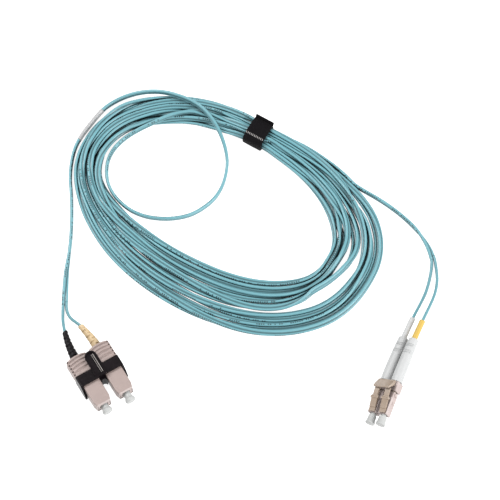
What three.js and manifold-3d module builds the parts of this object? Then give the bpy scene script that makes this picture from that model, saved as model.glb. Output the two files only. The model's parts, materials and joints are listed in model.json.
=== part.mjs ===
// Duplex fibre optic patch cord, millimetres, +Z up.
// A two-fibre zip cord lies wound in an oval coil that a hook-and-loop tie holds. One end divides into two
// legs that enter an SC duplex connector pair, the other end into two legs that enter an LC duplex pair.
// The frame's origin is on the surface that everything lies on, under the middle of the two connector pairs.
import * as THREE from 'three';
import { mergeVertices } from 'three/addons/utils/BufferGeometryUtils.js';
import Module from 'manifold-3d';

const wasm = await Module();
wasm.setup();

// ---- driving dimensions -------------------------------------------------------------------------------------

const GAP = 0.3;

// Cord
const LEG_DIAMETER = 1.6;
const ZIP_WIDTH = 3.3;

// Coil: an ellipse turned on the ground, whose bundle widens and narrows on its way round
const COIL = { x: -9.7, y: 94.6, long: 76, short: 46.5, turn: -31 };
const COIL_HEIGHT = 6.6;
// every 30 degrees from the coil's long axis, anticlockwise: how far out the bundle runs, and its width
const COIL_REACH = [0.98, 1.022, 1.022, 0.965, 1.012, 0.985, 0.967, 1.005, 0.99, 0.985, 1.014, 0.999];
const COIL_WIDTH = [27, 26.5, 19, 14.5, 16, 15, 12.5, 14.5, 23.5, 28.5, 31.5, 29.5];

// Hook-and-loop tie
const TIE = { angle: 92.5, length: 10.5, thick: 1.2 };
const WAIST_WIDTH = 11.4;
const WAIST_HEIGHT = 6.9;
const WAIST_REACH = 13;

// SC duplex pair
const SC = { x: -62.33, y: -12.82, turn: 31 };
const SC_PITCH = 12.7;
const SC_BODY = { width: 9, height: 7.4, length: 19.2, axis: 5, chamfer: 1 };
const SC_GRIP = { width: 11.4, height: 8.6, end: 28.4, bulge: 1, grooves: 4, groove: 0.9, step: 1.9 };
const SC_PLUG = { width: 6.8, height: 5.2, front: 0.8, back: 17, bore: 4.4 };
const SC_CLIP = { front: 12.9, back: 18.9, wall: 1, side: 12.2, channel: 6.3, top: 11.2 };
const SC_BOOT = { start: 22.6, mouth: 28.4, front: 4.4, tail: 3, bore: 2.3 };
const SC_BOOT_END = { a: 44.9, b: 43.7 };
const SC_BOOT_BEND = { a: 2.6, b: -1.7 };

// LC duplex pair, rolled about its own length
const LC = { x: 70.65, y: -21.32, turn: -20.6, roll: 30 };
const LC_PITCH = 6.25;
const LC_BODY = { size: 4.5, length: 12.6, lift: 0.4 };
const LC_CLIP = { front: 13, back: 18.3, half: 6, height: 5.3 };
const LC_BOOT = { start: 18.6, end: 43.5, front: 5.5, tail: 4.2, bore: 2.3, bend: 0.8 };
const LC_SLEEVE = { outside: 2.8, inside: 2.2, a: 11.4, b: 10.6 };
const LC_AXIS = LC_BODY.lift + LC_BODY.size / 2;
const LC_LATCH = { hinge: 1.1, width: 3.4, ears: 4.4 };
const LC_TRIGGER = { hinge: 17.5, height: 6.1, reach: 5.4, rise: 4, width: 9.6, thick: 1 };

// Routes of the cord where it isn't coiled, chosen by hand: x, y and the height of its middle
const SC_TAIL_ROUTE = [
  [-52.8, 138.6, 1.7], [-59.5, 134.6, 1.7], [-65.4, 128.6, 1.7],
  [-68.6, 122.1, 1.7], [-69.5, 115.5, 1.7], [-68.8, 108.9, 1.7], [-66.4, 103, 1.7], [-62.3, 97.6, 1.7],
  [-56.8, 92.9, 1.7], [-49.9, 89.6, 1.7], [-42, 88.1, 1.7], [-34.2, 88.2, 1.7], [-26.3, 90, 1.7],
  [-19.5, 93.8, 1.7], [-13.6, 99.2, 1.7], [-9.7, 105.7, 1.7], [-7.5, 113.3, 1.7], [-6.8, 120.9, 2.4],
  [-8, 127.9, 6], [-10.8, 135.2, 9], [-14.8, 142, 9], [-20.3, 148.5, 9], [-26.8, 153, 9],
  [-34.8, 156.5, 8.6], [-40.8, 158.6, 6.8], [-46.9, 159.9, 4.6], [-53.9, 159.9, 2.8], [-60.9, 157.9, 2.5],
  [-66.9, 154.6, 2.5], [-71.8, 150.7, 2.5], [-78.6, 141.8, 2.5], [-83.9, 133.6, 2.5], [-86.4, 127.5, 2.4],
  [-88, 118.8, 1.8], [-88.3, 110, 1.7], [-87.7, 103.5, 1.7], [-87.2, 94.9, 1.7], [-87, 86.2, 1.7],
  [-87.2, 76.9, 1.7], [-87.9, 67.6, 1.7], [-88.9, 58.4, 1.7], [-89.3, 47.4, 1.7], [-89.4, 40, 1.7],
];
const LC_TAIL_ROUTE = [
  [66.6, 102.4, 1.7], [71.3, 99.3, 1.7], [78.1, 94.3, 1.7], [84.7, 88.5, 1.7], [90.3, 82.5, 1.7],
  [94.6, 76.3, 1.7], [97.6, 70.2, 1.7], [99.1, 65.3, 1.7],
];
const SC_LEG_ROUTES = {
  a: [[-90.3, 39.4, 1.1], [-90.3, 34.7, 1.8], [-89.9, 30.6, 3.2]],
  b: [[-88.4, 39.4, 1.1], [-87.5, 35.2, 1.7], [-85.7, 31.9, 3]],
};
const LC_LEG_ROUTES = {
  a: [[98.2, 64.2, 1.1], [97.8, 58.6, 1.1], [96.4, 51.6, 1.5], [94, 44, 2.3]],
  b: [[100.1, 64.2, 1.1], [101, 57.6, 2.2], [100.6, 49.6, 3.8], [98.2, 41.6, 5.4]],
};
const LABEL_ROUTE = [[-71.8, 150.7, 2.5], [-78.6, 141.8, 2.5], [-83.9, 133.6, 2.5]];

// ---- materials ----------------------------------------------------------------------------------------------

const finish = (color, roughness, metalness = 0) => new THREE.MeshStandardMaterial({ color, roughness, metalness });
const FINISHES = {
  jacket: () => finish(0x73b3bd, 0.45),
  beige: () => finish(0xc9b5ab, 0.5),
  tan: () => finish(0xb29c88, 0.5),
  black: () => finish(0x241e24, 0.4),
  cream: () => finish(0xe6c992, 0.6),
  boot: () => finish(0xe8e8ea, 0.6),
  yellow: () => finish(0xf0bb40, 0.55),
  cap: () => finish(0xdfe5e2, 0.3),
  ceramic: () => finish(0xf2f0ea, 0.25),
  steel: () => finish(0xb9bcc0, 0.35, 1),
  brass: () => finish(0xc9b37a, 0.35, 1),
  label: () => finish(0xe9ebec, 0.5),
};

// ---- geometry helpers ---------------------------------------------------------------------------------------

const patchCord = new THREE.Group();

function addPart(parent, name, geometry, finishName) {
  const mesh = new THREE.Mesh(geometry, FINISHES[finishName]());
  mesh.name = name;
  parent.add(mesh);
  return mesh;
}

// A box by its lowest and highest corners
function block([x0, y0, z0], [x1, y1, z1]) {
  const geometry = new THREE.BoxGeometry(x1 - x0, y1 - y0, z1 - z0);
  return geometry.translate((x0 + x1) / 2, (y0 + y1) / 2, (z0 + z1) / 2);
}

// A flat outline in (x, y), raised from one height to another
function raise(shape, bottom, top) {
  const settings = { depth: top - bottom, bevelEnabled: false, curveSegments: 5 };
  return new THREE.ExtrudeGeometry(shape, settings).translate(0, 0, bottom);
}

// An outline in (y, z), stretched across from one x to another
function stretch(points, left, right) {
  const shape = new THREE.Shape(points.map(([y, z]) => new THREE.Vector2(y, z)));
  const geometry = new THREE.ExtrudeGeometry(shape, { depth: right - left, bevelEnabled: false });
  return geometry.rotateX(Math.PI / 2).rotateZ(Math.PI / 2).translate(left, 0, 0);
}

// Turns a profile of (radius, y) about an axis along Y
function turned(profile, x, z, segments = 12) {
  const points = profile.map(([radius, y]) => new THREE.Vector2(radius, y));
  return new THREE.LatheGeometry(points, segments).translate(x, 0, z);
}

// A tube of one outside profile with a straight hole, its ends square
function turnedTube(outline, holeRadius, x, z, segments = 12) {
  const first = outline[0][1];
  const last = outline[outline.length - 1][1];
  return turned([[holeRadius, first], ...outline, [holeRadius, last], [holeRadius, first]], x, z, segments);
}

function toSolid(geometry) {
  const bare = geometry.clone();
  bare.deleteAttribute('normal');
  bare.deleteAttribute('uv');
  const merged = mergeVertices(bare, 1e-4);
  return new wasm.Manifold(new wasm.Mesh({
    numProp: 3,
    vertProperties: new Float32Array(merged.attributes.position.array),
    triVerts: new Uint32Array(merged.index.array),
  }));
}

function toGeometry(solid) {
  const mesh = solid.getMesh();
  const geometry = new THREE.BufferGeometry();
  geometry.setAttribute('position', new THREE.BufferAttribute(new Float32Array(mesh.vertProperties), 3));
  geometry.setIndex(new THREE.BufferAttribute(new Uint32Array(mesh.triVerts), 1));
  geometry.computeVertexNormals();
  return geometry;
}

const join = (first, ...others) => toGeometry(others.reduce((sum, other) => sum.add(toSolid(other)), toSolid(first)));
const cut = (first, ...others) => toGeometry(others.reduce((sum, other) => sum.subtract(toSolid(other)), toSolid(first)));

function ringSection(radius, sides) {
  const shape = new THREE.Shape();
  for (let side = 0; side < sides; side += 1) {
    const angle = ((side + 0.5) / sides) * 2 * Math.PI;
    const draw = side === 0 ? 'moveTo' : 'lineTo';
    shape[draw](radius * Math.cos(angle), radius * Math.sin(angle));
  }
  return shape;
}

function sweep(route, diameter, steps, hole = 0) {
  const path = new THREE.CatmullRomCurve3(route.map((point) => new THREE.Vector3(...point)), false, 'centripetal');
  const section = ringSection(diameter / 2, 8);
  if (hole > 0) {
    section.holes.push(ringSection(hole / 2, 8));
  }
  return new THREE.ExtrudeGeometry(section, { steps, extrudePath: path, bevelEnabled: false });
}

// A closed wire helix about an axis along Y
function helix(radius, wire, start, end, turns, x, z) {
  const stepsPerTurn = 6;
  const points = [];
  for (let step = 0; step <= turns * stepsPerTurn; step += 1) {
    const share = step / (turns * stepsPerTurn);
    const angle = share * turns * 2 * Math.PI;
    const y = start + wire / 2 + share * (end - start - wire);
    points.push([x + radius * Math.cos(angle), y, z + radius * Math.sin(angle)]);
  }
  const path = new THREE.CatmullRomCurve3(points.map((point) => new THREE.Vector3(...point)));
  const settings = { steps: turns * stepsPerTurn, extrudePath: path, bevelEnabled: false };
  return new THREE.ExtrudeGeometry(ringSection(wire / 2, 4), settings);
}

// ---- coil, tie and free stretches of cord -------------------------------------------------------------------

// Value at an angle, smoothly between the entries of a closed list
function around(list, angle) {
  const place = ((((angle / (2 * Math.PI)) * list.length) % list.length) + list.length) % list.length;
  const index = Math.floor(place);
  const share = place - index;
  const [before, here, next, after] = [-1, 0, 1, 2].map((k) => list[(index + k + list.length) % list.length]);
  const slopeHere = (next - before) / 2;
  const slopeNext = (after - here) / 2;
  const square = share * share;
  const cube = square * share;
  return (2 * cube - 3 * square + 1) * here + (cube - 2 * square + share) * slopeHere
    + (3 * square - 2 * cube) * next + (cube - square) * slopeNext;
}

function coilMiddle(angle) {
  const reach = around(COIL_REACH, angle);
  const turn = THREE.MathUtils.degToRad(COIL.turn);
  const along = COIL.long * reach * Math.cos(angle);
  const across = COIL.short * reach * Math.sin(angle);
  const x = COIL.x + along * Math.cos(turn) - across * Math.sin(turn);
  const y = COIL.y + along * Math.sin(turn) + across * Math.cos(turn);
  return new THREE.Vector2(x, y);
}

function coilHeading(angle) {
  return coilMiddle(angle + 0.01).sub(coilMiddle(angle - 0.01)).normalize();
}

function makeCoil() {
  const geometry = new THREE.TorusGeometry(1, 0.5, 8, 72);
  const position = geometry.attributes.position;
  const tieMiddle = coilMiddle(THREE.MathUtils.degToRad(TIE.angle));
  for (let index = 0; index < position.count; index += 1) {
    const angle = Math.atan2(position.getY(index), position.getX(index));
    const outward = (Math.hypot(position.getX(index), position.getY(index)) - 1) / 0.5;
    const upward = position.getZ(index) / 0.5;
    const middle = coilMiddle(angle);
    const ahead = coilHeading(angle);
    const waist = Math.exp(-((middle.distanceTo(tieMiddle) / WAIST_REACH) ** 4));
    const halfWidth = THREE.MathUtils.lerp(around(COIL_WIDTH, angle), WAIST_WIDTH, waist) / 2;
    const halfHeight = THREE.MathUtils.lerp(COIL_HEIGHT, WAIST_HEIGHT, waist) / 2;
    const lift = waist * (TIE.thick + GAP);
    const square = (value) => Math.sign(value) * Math.abs(value) ** 0.6;
    position.setXYZ(
      index,
      middle.x + ahead.y * halfWidth * square(outward),
      middle.y - ahead.x * halfWidth * square(outward),
      halfHeight + lift + halfHeight * square(upward),
    );
  }
  addPart(patchCord, 'cord_coil', geometry, 'jacket');
}

function makeTie() {
  const insideWidth = WAIST_WIDTH + 4 * GAP;
  const insideHeight = WAIST_HEIGHT + 2 * GAP;
  const halfWidth = insideWidth / 2 + TIE.thick;
  const height = insideHeight + 2 * TIE.thick;
  const corner = 2.4;
  const outline = new THREE.Shape();
  outline.moveTo(corner - halfWidth, 0);
  outline.lineTo(halfWidth - corner, 0);
  outline.absarc(halfWidth - corner, corner, corner, -Math.PI / 2, 0);
  outline.absarc(halfWidth - corner, height - corner, corner, 0, Math.PI / 2);
  outline.absarc(corner - halfWidth, height - corner, corner, Math.PI / 2, Math.PI);
  outline.absarc(corner - halfWidth, corner, corner, Math.PI, 1.5 * Math.PI);
  const band = raise(outline, 0, TIE.length);
  const window = block(
    [-insideWidth / 2, TIE.thick, -1],
    [insideWidth / 2, TIE.thick + insideHeight, TIE.length + 1],
  );
  // the loose end of the strap stands off the far side
  const tab = block([halfWidth - 1.4, height - 4, 0.4], [halfWidth + 2.6, height - 2.8, TIE.length - 0.4]);
  const strap = join(cut(band, window), tab);
  strap.rotateX(Math.PI / 2).rotateZ(Math.PI / 2).translate(-TIE.length / 2, 0, 0);
  const mesh = addPart(patchCord, 'hook_and_loop_tie', strap, 'black');
  const angle = THREE.MathUtils.degToRad(TIE.angle);
  const middle = coilMiddle(angle);
  const heading = coilHeading(angle);
  mesh.position.set(middle.x, middle.y, 0);
  mesh.rotation.z = Math.atan2(-heading.y, -heading.x);
}

function makeFreeCord() {
  addPart(patchCord, 'cord_sc_tail', sweep(SC_TAIL_ROUTE, ZIP_WIDTH, 42), 'jacket');
  addPart(patchCord, 'cord_lc_tail', sweep(LC_TAIL_ROUTE, ZIP_WIDTH, 8), 'jacket');
  addPart(patchCord, 'wrap_label', sweep(LABEL_ROUTE, ZIP_WIDTH + 1.7, 3, ZIP_WIDTH + 1), 'label');
}

// ---- SC duplex pair: local x across, y from the front faces back towards the cord ---------------------------

// How far a boot's middle line has bent sideways
function scBootShift(side, y) {
  const share = Math.max(0, y - SC_BOOT.mouth) / (SC_BOOT_END[side] - SC_BOOT.mouth);
  return SC_BOOT_BEND[side] * share * share;
}

function makeScHousing(group, name, x) {
  const { width, height, length, axis, chamfer } = SC_BODY;
  const front = new THREE.Shape([
    new THREE.Vector2(x - width / 2 + chamfer, 0),
    new THREE.Vector2(x + width / 2 - chamfer, 0),
    new THREE.Vector2(x + width / 2, chamfer),
    new THREE.Vector2(x + width / 2, length),
    new THREE.Vector2(x - width / 2, length),
    new THREE.Vector2(x - width / 2, chamfer),
  ]);
  const grip = new THREE.Shape();
  grip.moveTo(x - SC_GRIP.width / 2, length);
  grip.lineTo(x + SC_GRIP.width / 2, length);
  grip.lineTo(x + SC_GRIP.width / 2, SC_GRIP.end - 0.6);
  grip.quadraticCurveTo(x, SC_GRIP.end + 2 * SC_GRIP.bulge, x - SC_GRIP.width / 2, SC_GRIP.end - 0.6);
  const outside = join(
    raise(front, axis - height / 2, axis + height / 2),
    raise(grip, axis - SC_GRIP.height / 2, axis + SC_GRIP.height / 2),
  );
  const cavity = block(
    [x - SC_PLUG.width / 2 - GAP, -1, axis - SC_PLUG.height / 2 - GAP],
    [x + SC_PLUG.width / 2 + GAP, 18, axis + SC_PLUG.height / 2 + GAP],
  );
  const rearCavity = turned([[0, 15], [3.7, 15], [3.7, 31], [0, 31]], x, axis);
  const grooves = [];
  for (let row = 0; row < SC_GRIP.grooves; row += 1) {
    const y = 20.9 + row * SC_GRIP.step;
    for (const face of [axis - SC_GRIP.height / 2, axis + SC_GRIP.height / 2]) {
      grooves.push(block([x - 4.6, y, face - 0.45], [x + 4.6, y + SC_GRIP.groove, face + 0.45]));
    }
  }
  addPart(group, `sc_housing_${name}`, cut(outside, cavity, rearCavity, ...grooves), 'beige');
}

function makeScClip(group) {
  const { front, back, wall, side, channel, top } = SC_CLIP;
  const plateTop = SC_BODY.axis + SC_BODY.height / 2 + GAP + wall;
  const band = block([-side, front, 0], [side, back, plateTop]);
  const spine = new THREE.Shape();
  spine.moveTo(-channel / 2, front);
  spine.lineTo(channel / 2, front);
  spine.lineTo(channel / 2, 27.4 - channel / 2);
  spine.absarc(0, 27.4 - channel / 2, channel / 2, 0, Math.PI);
  const nose = block([-1.5, front - 4.2, 1], [1.5, front + 1, 8.2]);
  const windows = [-1, 1].map((hand) => block(
    [hand * SC_PITCH / 2 - SC_BODY.width / 2 - GAP, front - 1, wall],
    [hand * SC_PITCH / 2 + SC_BODY.width / 2 + GAP, back + 1, plateTop - wall],
  ));
  const arms = [-1, 1].map((hand) => stretch(
    [[front - 4.6, 2.2], [front - 3.6, 1], [front + 0.5, 0.8], [front + 0.5, 8], [front - 3, 5.6]],
    hand > 0 ? side - 1.05 : -side,
    hand > 0 ? side : 1.05 - side,
  ));
  const trough = block([-1.5, front + 1.5, plateTop + 0.2], [0.9, 25.6, top + 1]);
  const clip = join(cut(join(band, raise(spine, plateTop - 0.4, top)), ...windows, trough), nose, ...arms);
  addPart(group, 'sc_duplex_clip', clip, 'black');
}

function makeScInside(group, name, x) {
  const z = SC_BODY.axis;
  const plugBlock = block(
    [x - SC_PLUG.width / 2, SC_PLUG.front, z - SC_PLUG.height / 2],
    [x + SC_PLUG.width / 2, SC_PLUG.back, z + SC_PLUG.height / 2],
  );
  const plugBore = turned([[0, 0], [SC_PLUG.bore / 2, 0], [SC_PLUG.bore / 2, 18], [0, 18]], x, z);
  addPart(group, `sc_plug_frame_${name}`, cut(plugBlock, plugBore), 'beige');
  const ferrule = [[0, 0.3], [1.05, 0.3], [1.25, 0.8], [1.25, 7.8], [1.9, 7.8], [1.9, 9.8], [1.1, 9.8], [1.1, 13.6], [0, 13.6]];
  addPart(group, `sc_ferrule_${name}`, turned(ferrule, x, z), 'ceramic');
  addPart(group, `sc_spring_${name}`, helix(1.65, 0.36, 10.1, 16.4, 5, x, z), 'steel');
  const backbone = [[1.9, 16.8], [1.9, 17.5], [3.2, 17.5], [3.2, 21.5], [1.9, 21.5], [1.9, 25.6]];
  addPart(group, `sc_backbone_${name}`, turnedTube(backbone, 1.2, x, z), 'beige');
  addPart(group, `sc_crimp_sleeve_${name}`, turnedTube([[2.6, 21.9], [2.6, 26.2]], 2.2, x, z), 'steel');
}

function makeScBoot(group, name, x, finishName) {
  const z = SC_BODY.axis;
  const { start, mouth, front, tail, bore } = SC_BOOT;
  const end = SC_BOOT_END[name];
  const profile = [
    [2.95, start], [3.35, start], [3.35, mouth - 1.4], [front / 2, mouth - 0.6], [tail / 2, end],
    [bore / 2, end], [bore / 2, mouth - 1.5], [2.95, mouth - 1.8], [2.95, start],
  ];
  const rings = [];
  const steps = 6;
  for (let step = 1; step < steps; step += 1) {
    rings.push(mouth + (step / steps) * (end - mouth));
  }
  const outside = [];
  for (const [radius, y] of profile) {
    if (y === end && radius === tail / 2) {
      for (const ring of rings) {
        const share = (ring - mouth + 0.6) / (end - mouth + 0.6);
        outside.push([THREE.MathUtils.lerp(front, tail, share) / 2, ring]);
      }
    }
    outside.push([radius, y]);
    if (y === end && radius === bore / 2) {
      for (const ring of rings.slice().reverse()) {
        outside.push([bore / 2, ring]);
      }
    }
  }
  const geometry = turned(outside, x, z);
  const position = geometry.attributes.position;
  for (let index = 0; index < position.count; index += 1) {
    position.setX(index, position.getX(index) + scBootShift(name, position.getY(index)));
  }
  addPart(group, `sc_boot_${name}`, geometry, finishName);
}

function makeScCap(group, name, x) {
  const z = SC_BODY.axis;
  const profile = [
    [0, -5.2], [1.7, -5.2], [2.45, -4.5], [2.5, -3.6], [1.9, -2.6], [1.9, 6], [1.55, 6], [1.55, -0.6], [0, -0.6],
  ];
  addPart(group, `sc_dust_cap_${name}`, turned(profile, x, z), 'cap');
}

function makeScPair() {
  const group = new THREE.Group();
  group.position.set(SC.x, SC.y, 0);
  group.rotation.z = THREE.MathUtils.degToRad(SC.turn);
  patchCord.add(group);
  makeScClip(group);
  for (const [name, hand, bootFinish] of [['a', -1, 'black'], ['b', 1, 'cream']]) {
    const x = (hand * SC_PITCH) / 2;
    makeScHousing(group, name, x);
    makeScInside(group, name, x);
    makeScBoot(group, name, x, bootFinish);
    makeScCap(group, name, x);
  }
  group.updateMatrixWorld(true);
  // each leg runs from the crimp through its boot, then along the ground to where the zip cord divides
  for (const [name, hand] of [['a', -1], ['b', 1]]) {
    const end = SC_BOOT_END[name];
    const inBoot = [31.4, 34.4, 37.4, 40.4, end, end + 1.8].map((y) => {
      const slope = (2 * SC_BOOT_BEND[name]) / (end - SC_BOOT.mouth);
      const beyond = Math.max(0, y - end) * slope;
      const shift = scBootShift(name, Math.min(y, end)) + beyond;
      return group.localToWorld(new THREE.Vector3((hand * SC_PITCH) / 2 + shift, y, SC_BODY.axis)).toArray();
    });
    const route = [...SC_LEG_ROUTES[name], ...inBoot.reverse()];
    addPart(patchCord, `cord_sc_leg_${name}`, sweep(route, LEG_DIAMETER, 14), 'jacket');
  }
}

// ---- LC duplex pair: local x across, y from the front faces back, z away from the latches' backs ------------

function makeLcHousing(group, name, x) {
  const { size, length, lift } = LC_BODY;
  const body = block([x - size / 2, 0, lift], [x + size / 2, length, lift + size]);
  const bore = turned([[0, -1], [1.65, -1], [1.65, 14], [0, 14]], x, LC_AXIS);
  const latchSeat = block([x - LC_LATCH.width / 2 - GAP, -1, lift + size - 0.4], [x + LC_LATCH.width / 2 + GAP, 3.6, 6]);
  addPart(group, `lc_housing_${name}`, cut(body, bore, latchSeat), 'beige');
}

function makeLcInside(group, name, x) {
  const z = LC_AXIS;
  const ferrule = [[0, -1.5], [0.5, -1.5], [0.62, -1.2], [0.62, 6.2], [1.2, 6.2], [1.2, 7.7], [0.6, 7.7], [0.6, 10.4], [0, 10.4]];
  addPart(group, `lc_ferrule_${name}`, turned(ferrule, x, z, 12), 'ceramic');
  addPart(group, `lc_spring_${name}`, helix(1.05, 0.26, 8, 12.3, 5, x, z), 'steel');
  const rearBody = [[1.3, 12.7], [1.3, 13.4], [1.95, 13.4], [1.95, 18], [1.3, 18], [1.3, 21.4]];
  addPart(group, `lc_rear_body_${name}`, turnedTube(rearBody, 0.9, x, z, 12), 'brass');
  addPart(group, `lc_crimp_sleeve_${name}`, turnedTube([[1.9, 18.5], [1.9, 22.6]], 1.6, x, z, 12), 'steel');
}

// How far a boot and what follows it have bent sideways
function lcBootShift(y) {
  const share = Math.max(0, y - LC_BOOT.start) / (LC_BOOT.end - LC_BOOT.start);
  return LC_BOOT.bend * share * share;
}

function bendLc(geometry) {
  const position = geometry.attributes.position;
  for (let index = 0; index < position.count; index += 1) {
    position.setX(index, position.getX(index) + lcBootShift(position.getY(index)));
  }
  return geometry;
}

function makeLcBoot(group, name, x) {
  const { start, end, front, tail, bore } = LC_BOOT;
  const profile = [
    [2.2, start], [front / 2, start], [front / 2 - 0.1, start + 8], [2.38, 35], [tail / 2, end], [bore / 2, end],
    [bore / 2, 35], [bore / 2, 24.2], [2.2, 23.4], [2.2, start],
  ];
  addPart(group, `lc_boot_${name}`, bendLc(turned(profile, x, LC_AXIS)), 'boot');
}

function makeLcCap(group, name, x) {
  const profile = [
    [0, -5.6], [2.05, -5.6], [2.1, -5.1], [1.6, -4.6], [1.6, -0.3], [1.3, -0.3], [1.3, 5.2], [0.93, 5.2],
    [0.93, -2.4], [0, -2.4],
  ];
  addPart(group, `lc_dust_cap_${name}`, turned(profile, x, LC_AXIS), 'cap');
}

// A springy arm rooted at the front top edge, rising to its ears and running on under the trigger
function makeLcLatch(group, name, x) {
  const arm = stretch(
    [[0.4, 4.85], [2, 4.85], [8.2, 6.35], [13, 6.95], [13, 7.85], [7.8, 7.25], [1.4, 5.75], [0.4, 5.75]],
    x - LC_LATCH.width / 2,
    x + LC_LATCH.width / 2,
  );
  const ears = block([x - LC_LATCH.ears / 2, 7, 6.3], [x + LC_LATCH.ears / 2, 8.1, 7.3]);
  addPart(group, `lc_latch_${name}`, join(arm, ears), 'tan');
}

function makeLcClip(group) {
  const { front, back, half, height } = LC_CLIP;
  const shell = block([-half, front, 0], [half, back, height]);
  const bores = [-1, 1].map((hand) => {
    const x = (hand * LC_PITCH) / 2;
    return turned([[0, front - 1], [2.25, front - 1], [2.25, back + 1], [0, back + 1]], x, LC_AXIS);
  });
  addPart(group, 'lc_duplex_clip', cut(shell, ...bores), 'beige');
}

function makeLcTrigger(group) {
  const { hinge, height, reach, rise, width, thick } = LC_TRIGGER;
  const outline = [
    [hinge + 0.7, height - 0.5], [hinge + 0.7, height + 0.6], [hinge, height + 0.7],
    [hinge - reach, height + rise], [hinge - reach - 0.5, height + rise - thick + 0.3],
    [hinge - 1, height - 0.5],
  ];
  addPart(group, 'lc_trigger', stretch(outline, -width / 2, width / 2), 'tan');
}

function makeLcPair() {
  const turnTable = new THREE.Group();
  turnTable.rotation.z = THREE.MathUtils.degToRad(LC.turn);
  const roll = THREE.MathUtils.degToRad(LC.roll);
  turnTable.position.set(LC.x, LC.y, LC_CLIP.half * Math.sin(roll));
  const group = new THREE.Group();
  group.rotation.y = -roll;
  turnTable.add(group);
  patchCord.add(turnTable);
  makeLcClip(group);
  makeLcTrigger(group);
  for (const [name, hand] of [['a', -1], ['b', 1]]) {
    const x = (hand * LC_PITCH) / 2;
    makeLcHousing(group, name, x);
    makeLcInside(group, name, x);
    makeLcBoot(group, name, x);
    makeLcCap(group, name, x);
    makeLcLatch(group, name, x);
    const sleeveStart = LC_BOOT.end + GAP;
    const sleeveOutline = [[LC_SLEEVE.outside / 2, sleeveStart], [LC_SLEEVE.outside / 2, sleeveStart + LC_SLEEVE[name]]];
    const sleeve = bendLc(turnedTube(sleeveOutline, LC_SLEEVE.inside / 2, x, LC_AXIS, 12));
    addPart(group, `lc_marker_sleeve_${name}`, sleeve, name === 'a' ? 'boot' : 'yellow');
  }
  turnTable.updateMatrixWorld(true);
  for (const [name, hand] of [['a', -1], ['b', 1]]) {
    const inBoot = [30, 36, 43, 48, 56.4].map((y) => {
      const place = new THREE.Vector3((hand * LC_PITCH) / 2 + lcBootShift(y), y, LC_AXIS);
      return group.localToWorld(place).toArray();
    });
    const route = [...LC_LEG_ROUTES[name], ...inBoot.reverse()];
    addPart(patchCord, `cord_lc_leg_${name}`, sweep(route, LEG_DIAMETER, 16), 'jacket');
  }
}

makeCoil();
makeTie();
makeFreeCord();
makeScPair();
makeLcPair();

export default patchCord;
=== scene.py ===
"""Duplex fibre optic patch cord, in metres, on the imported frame's bodies."""
import json
import math

import bmesh
import bpy
import numpy as np
from mathutils import Matrix, Vector


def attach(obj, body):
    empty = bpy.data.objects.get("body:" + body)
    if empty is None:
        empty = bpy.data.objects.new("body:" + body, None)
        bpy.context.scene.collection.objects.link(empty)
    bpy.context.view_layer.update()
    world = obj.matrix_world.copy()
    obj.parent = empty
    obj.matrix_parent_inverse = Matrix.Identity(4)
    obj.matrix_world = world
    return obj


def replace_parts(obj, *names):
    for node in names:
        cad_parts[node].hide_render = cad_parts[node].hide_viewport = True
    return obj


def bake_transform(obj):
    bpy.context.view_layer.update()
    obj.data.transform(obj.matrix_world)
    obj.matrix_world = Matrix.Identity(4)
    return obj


MM = 0.001
ROOT = "cord_and_inner_bodies"
SHELLS = "sc_outer_shells"

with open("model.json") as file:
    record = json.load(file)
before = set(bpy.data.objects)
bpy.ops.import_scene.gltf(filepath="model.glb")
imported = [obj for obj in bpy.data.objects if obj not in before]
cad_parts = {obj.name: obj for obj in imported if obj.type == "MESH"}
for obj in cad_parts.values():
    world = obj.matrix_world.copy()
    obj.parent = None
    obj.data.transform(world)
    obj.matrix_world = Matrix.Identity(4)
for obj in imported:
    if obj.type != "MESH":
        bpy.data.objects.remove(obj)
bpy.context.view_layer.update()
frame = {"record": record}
scene = bpy.context.scene


def link(name, data):
    obj = bpy.data.objects.new(name, data)
    scene.collection.objects.link(obj)
    return obj


# ---- camera ----

VIEW_TARGET = Vector((0.0051, 0.0711, 0.0))
VIEW_DISTANCE = 1.43
VIEW_ELEVATION = math.radians(66.5)

view = bpy.data.cameras.new("view")
view.lens = 200
view.sensor_width = 36
view.clip_start = 0.01
camera = link("view", view)
back = Vector((0, -math.cos(VIEW_ELEVATION), math.sin(VIEW_ELEVATION)))
camera.location = VIEW_TARGET + VIEW_DISTANCE * back
camera.rotation_euler = (math.pi / 2 - VIEW_ELEVATION, 0, 0)
scene.camera = camera

# ---- materials ----


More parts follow.
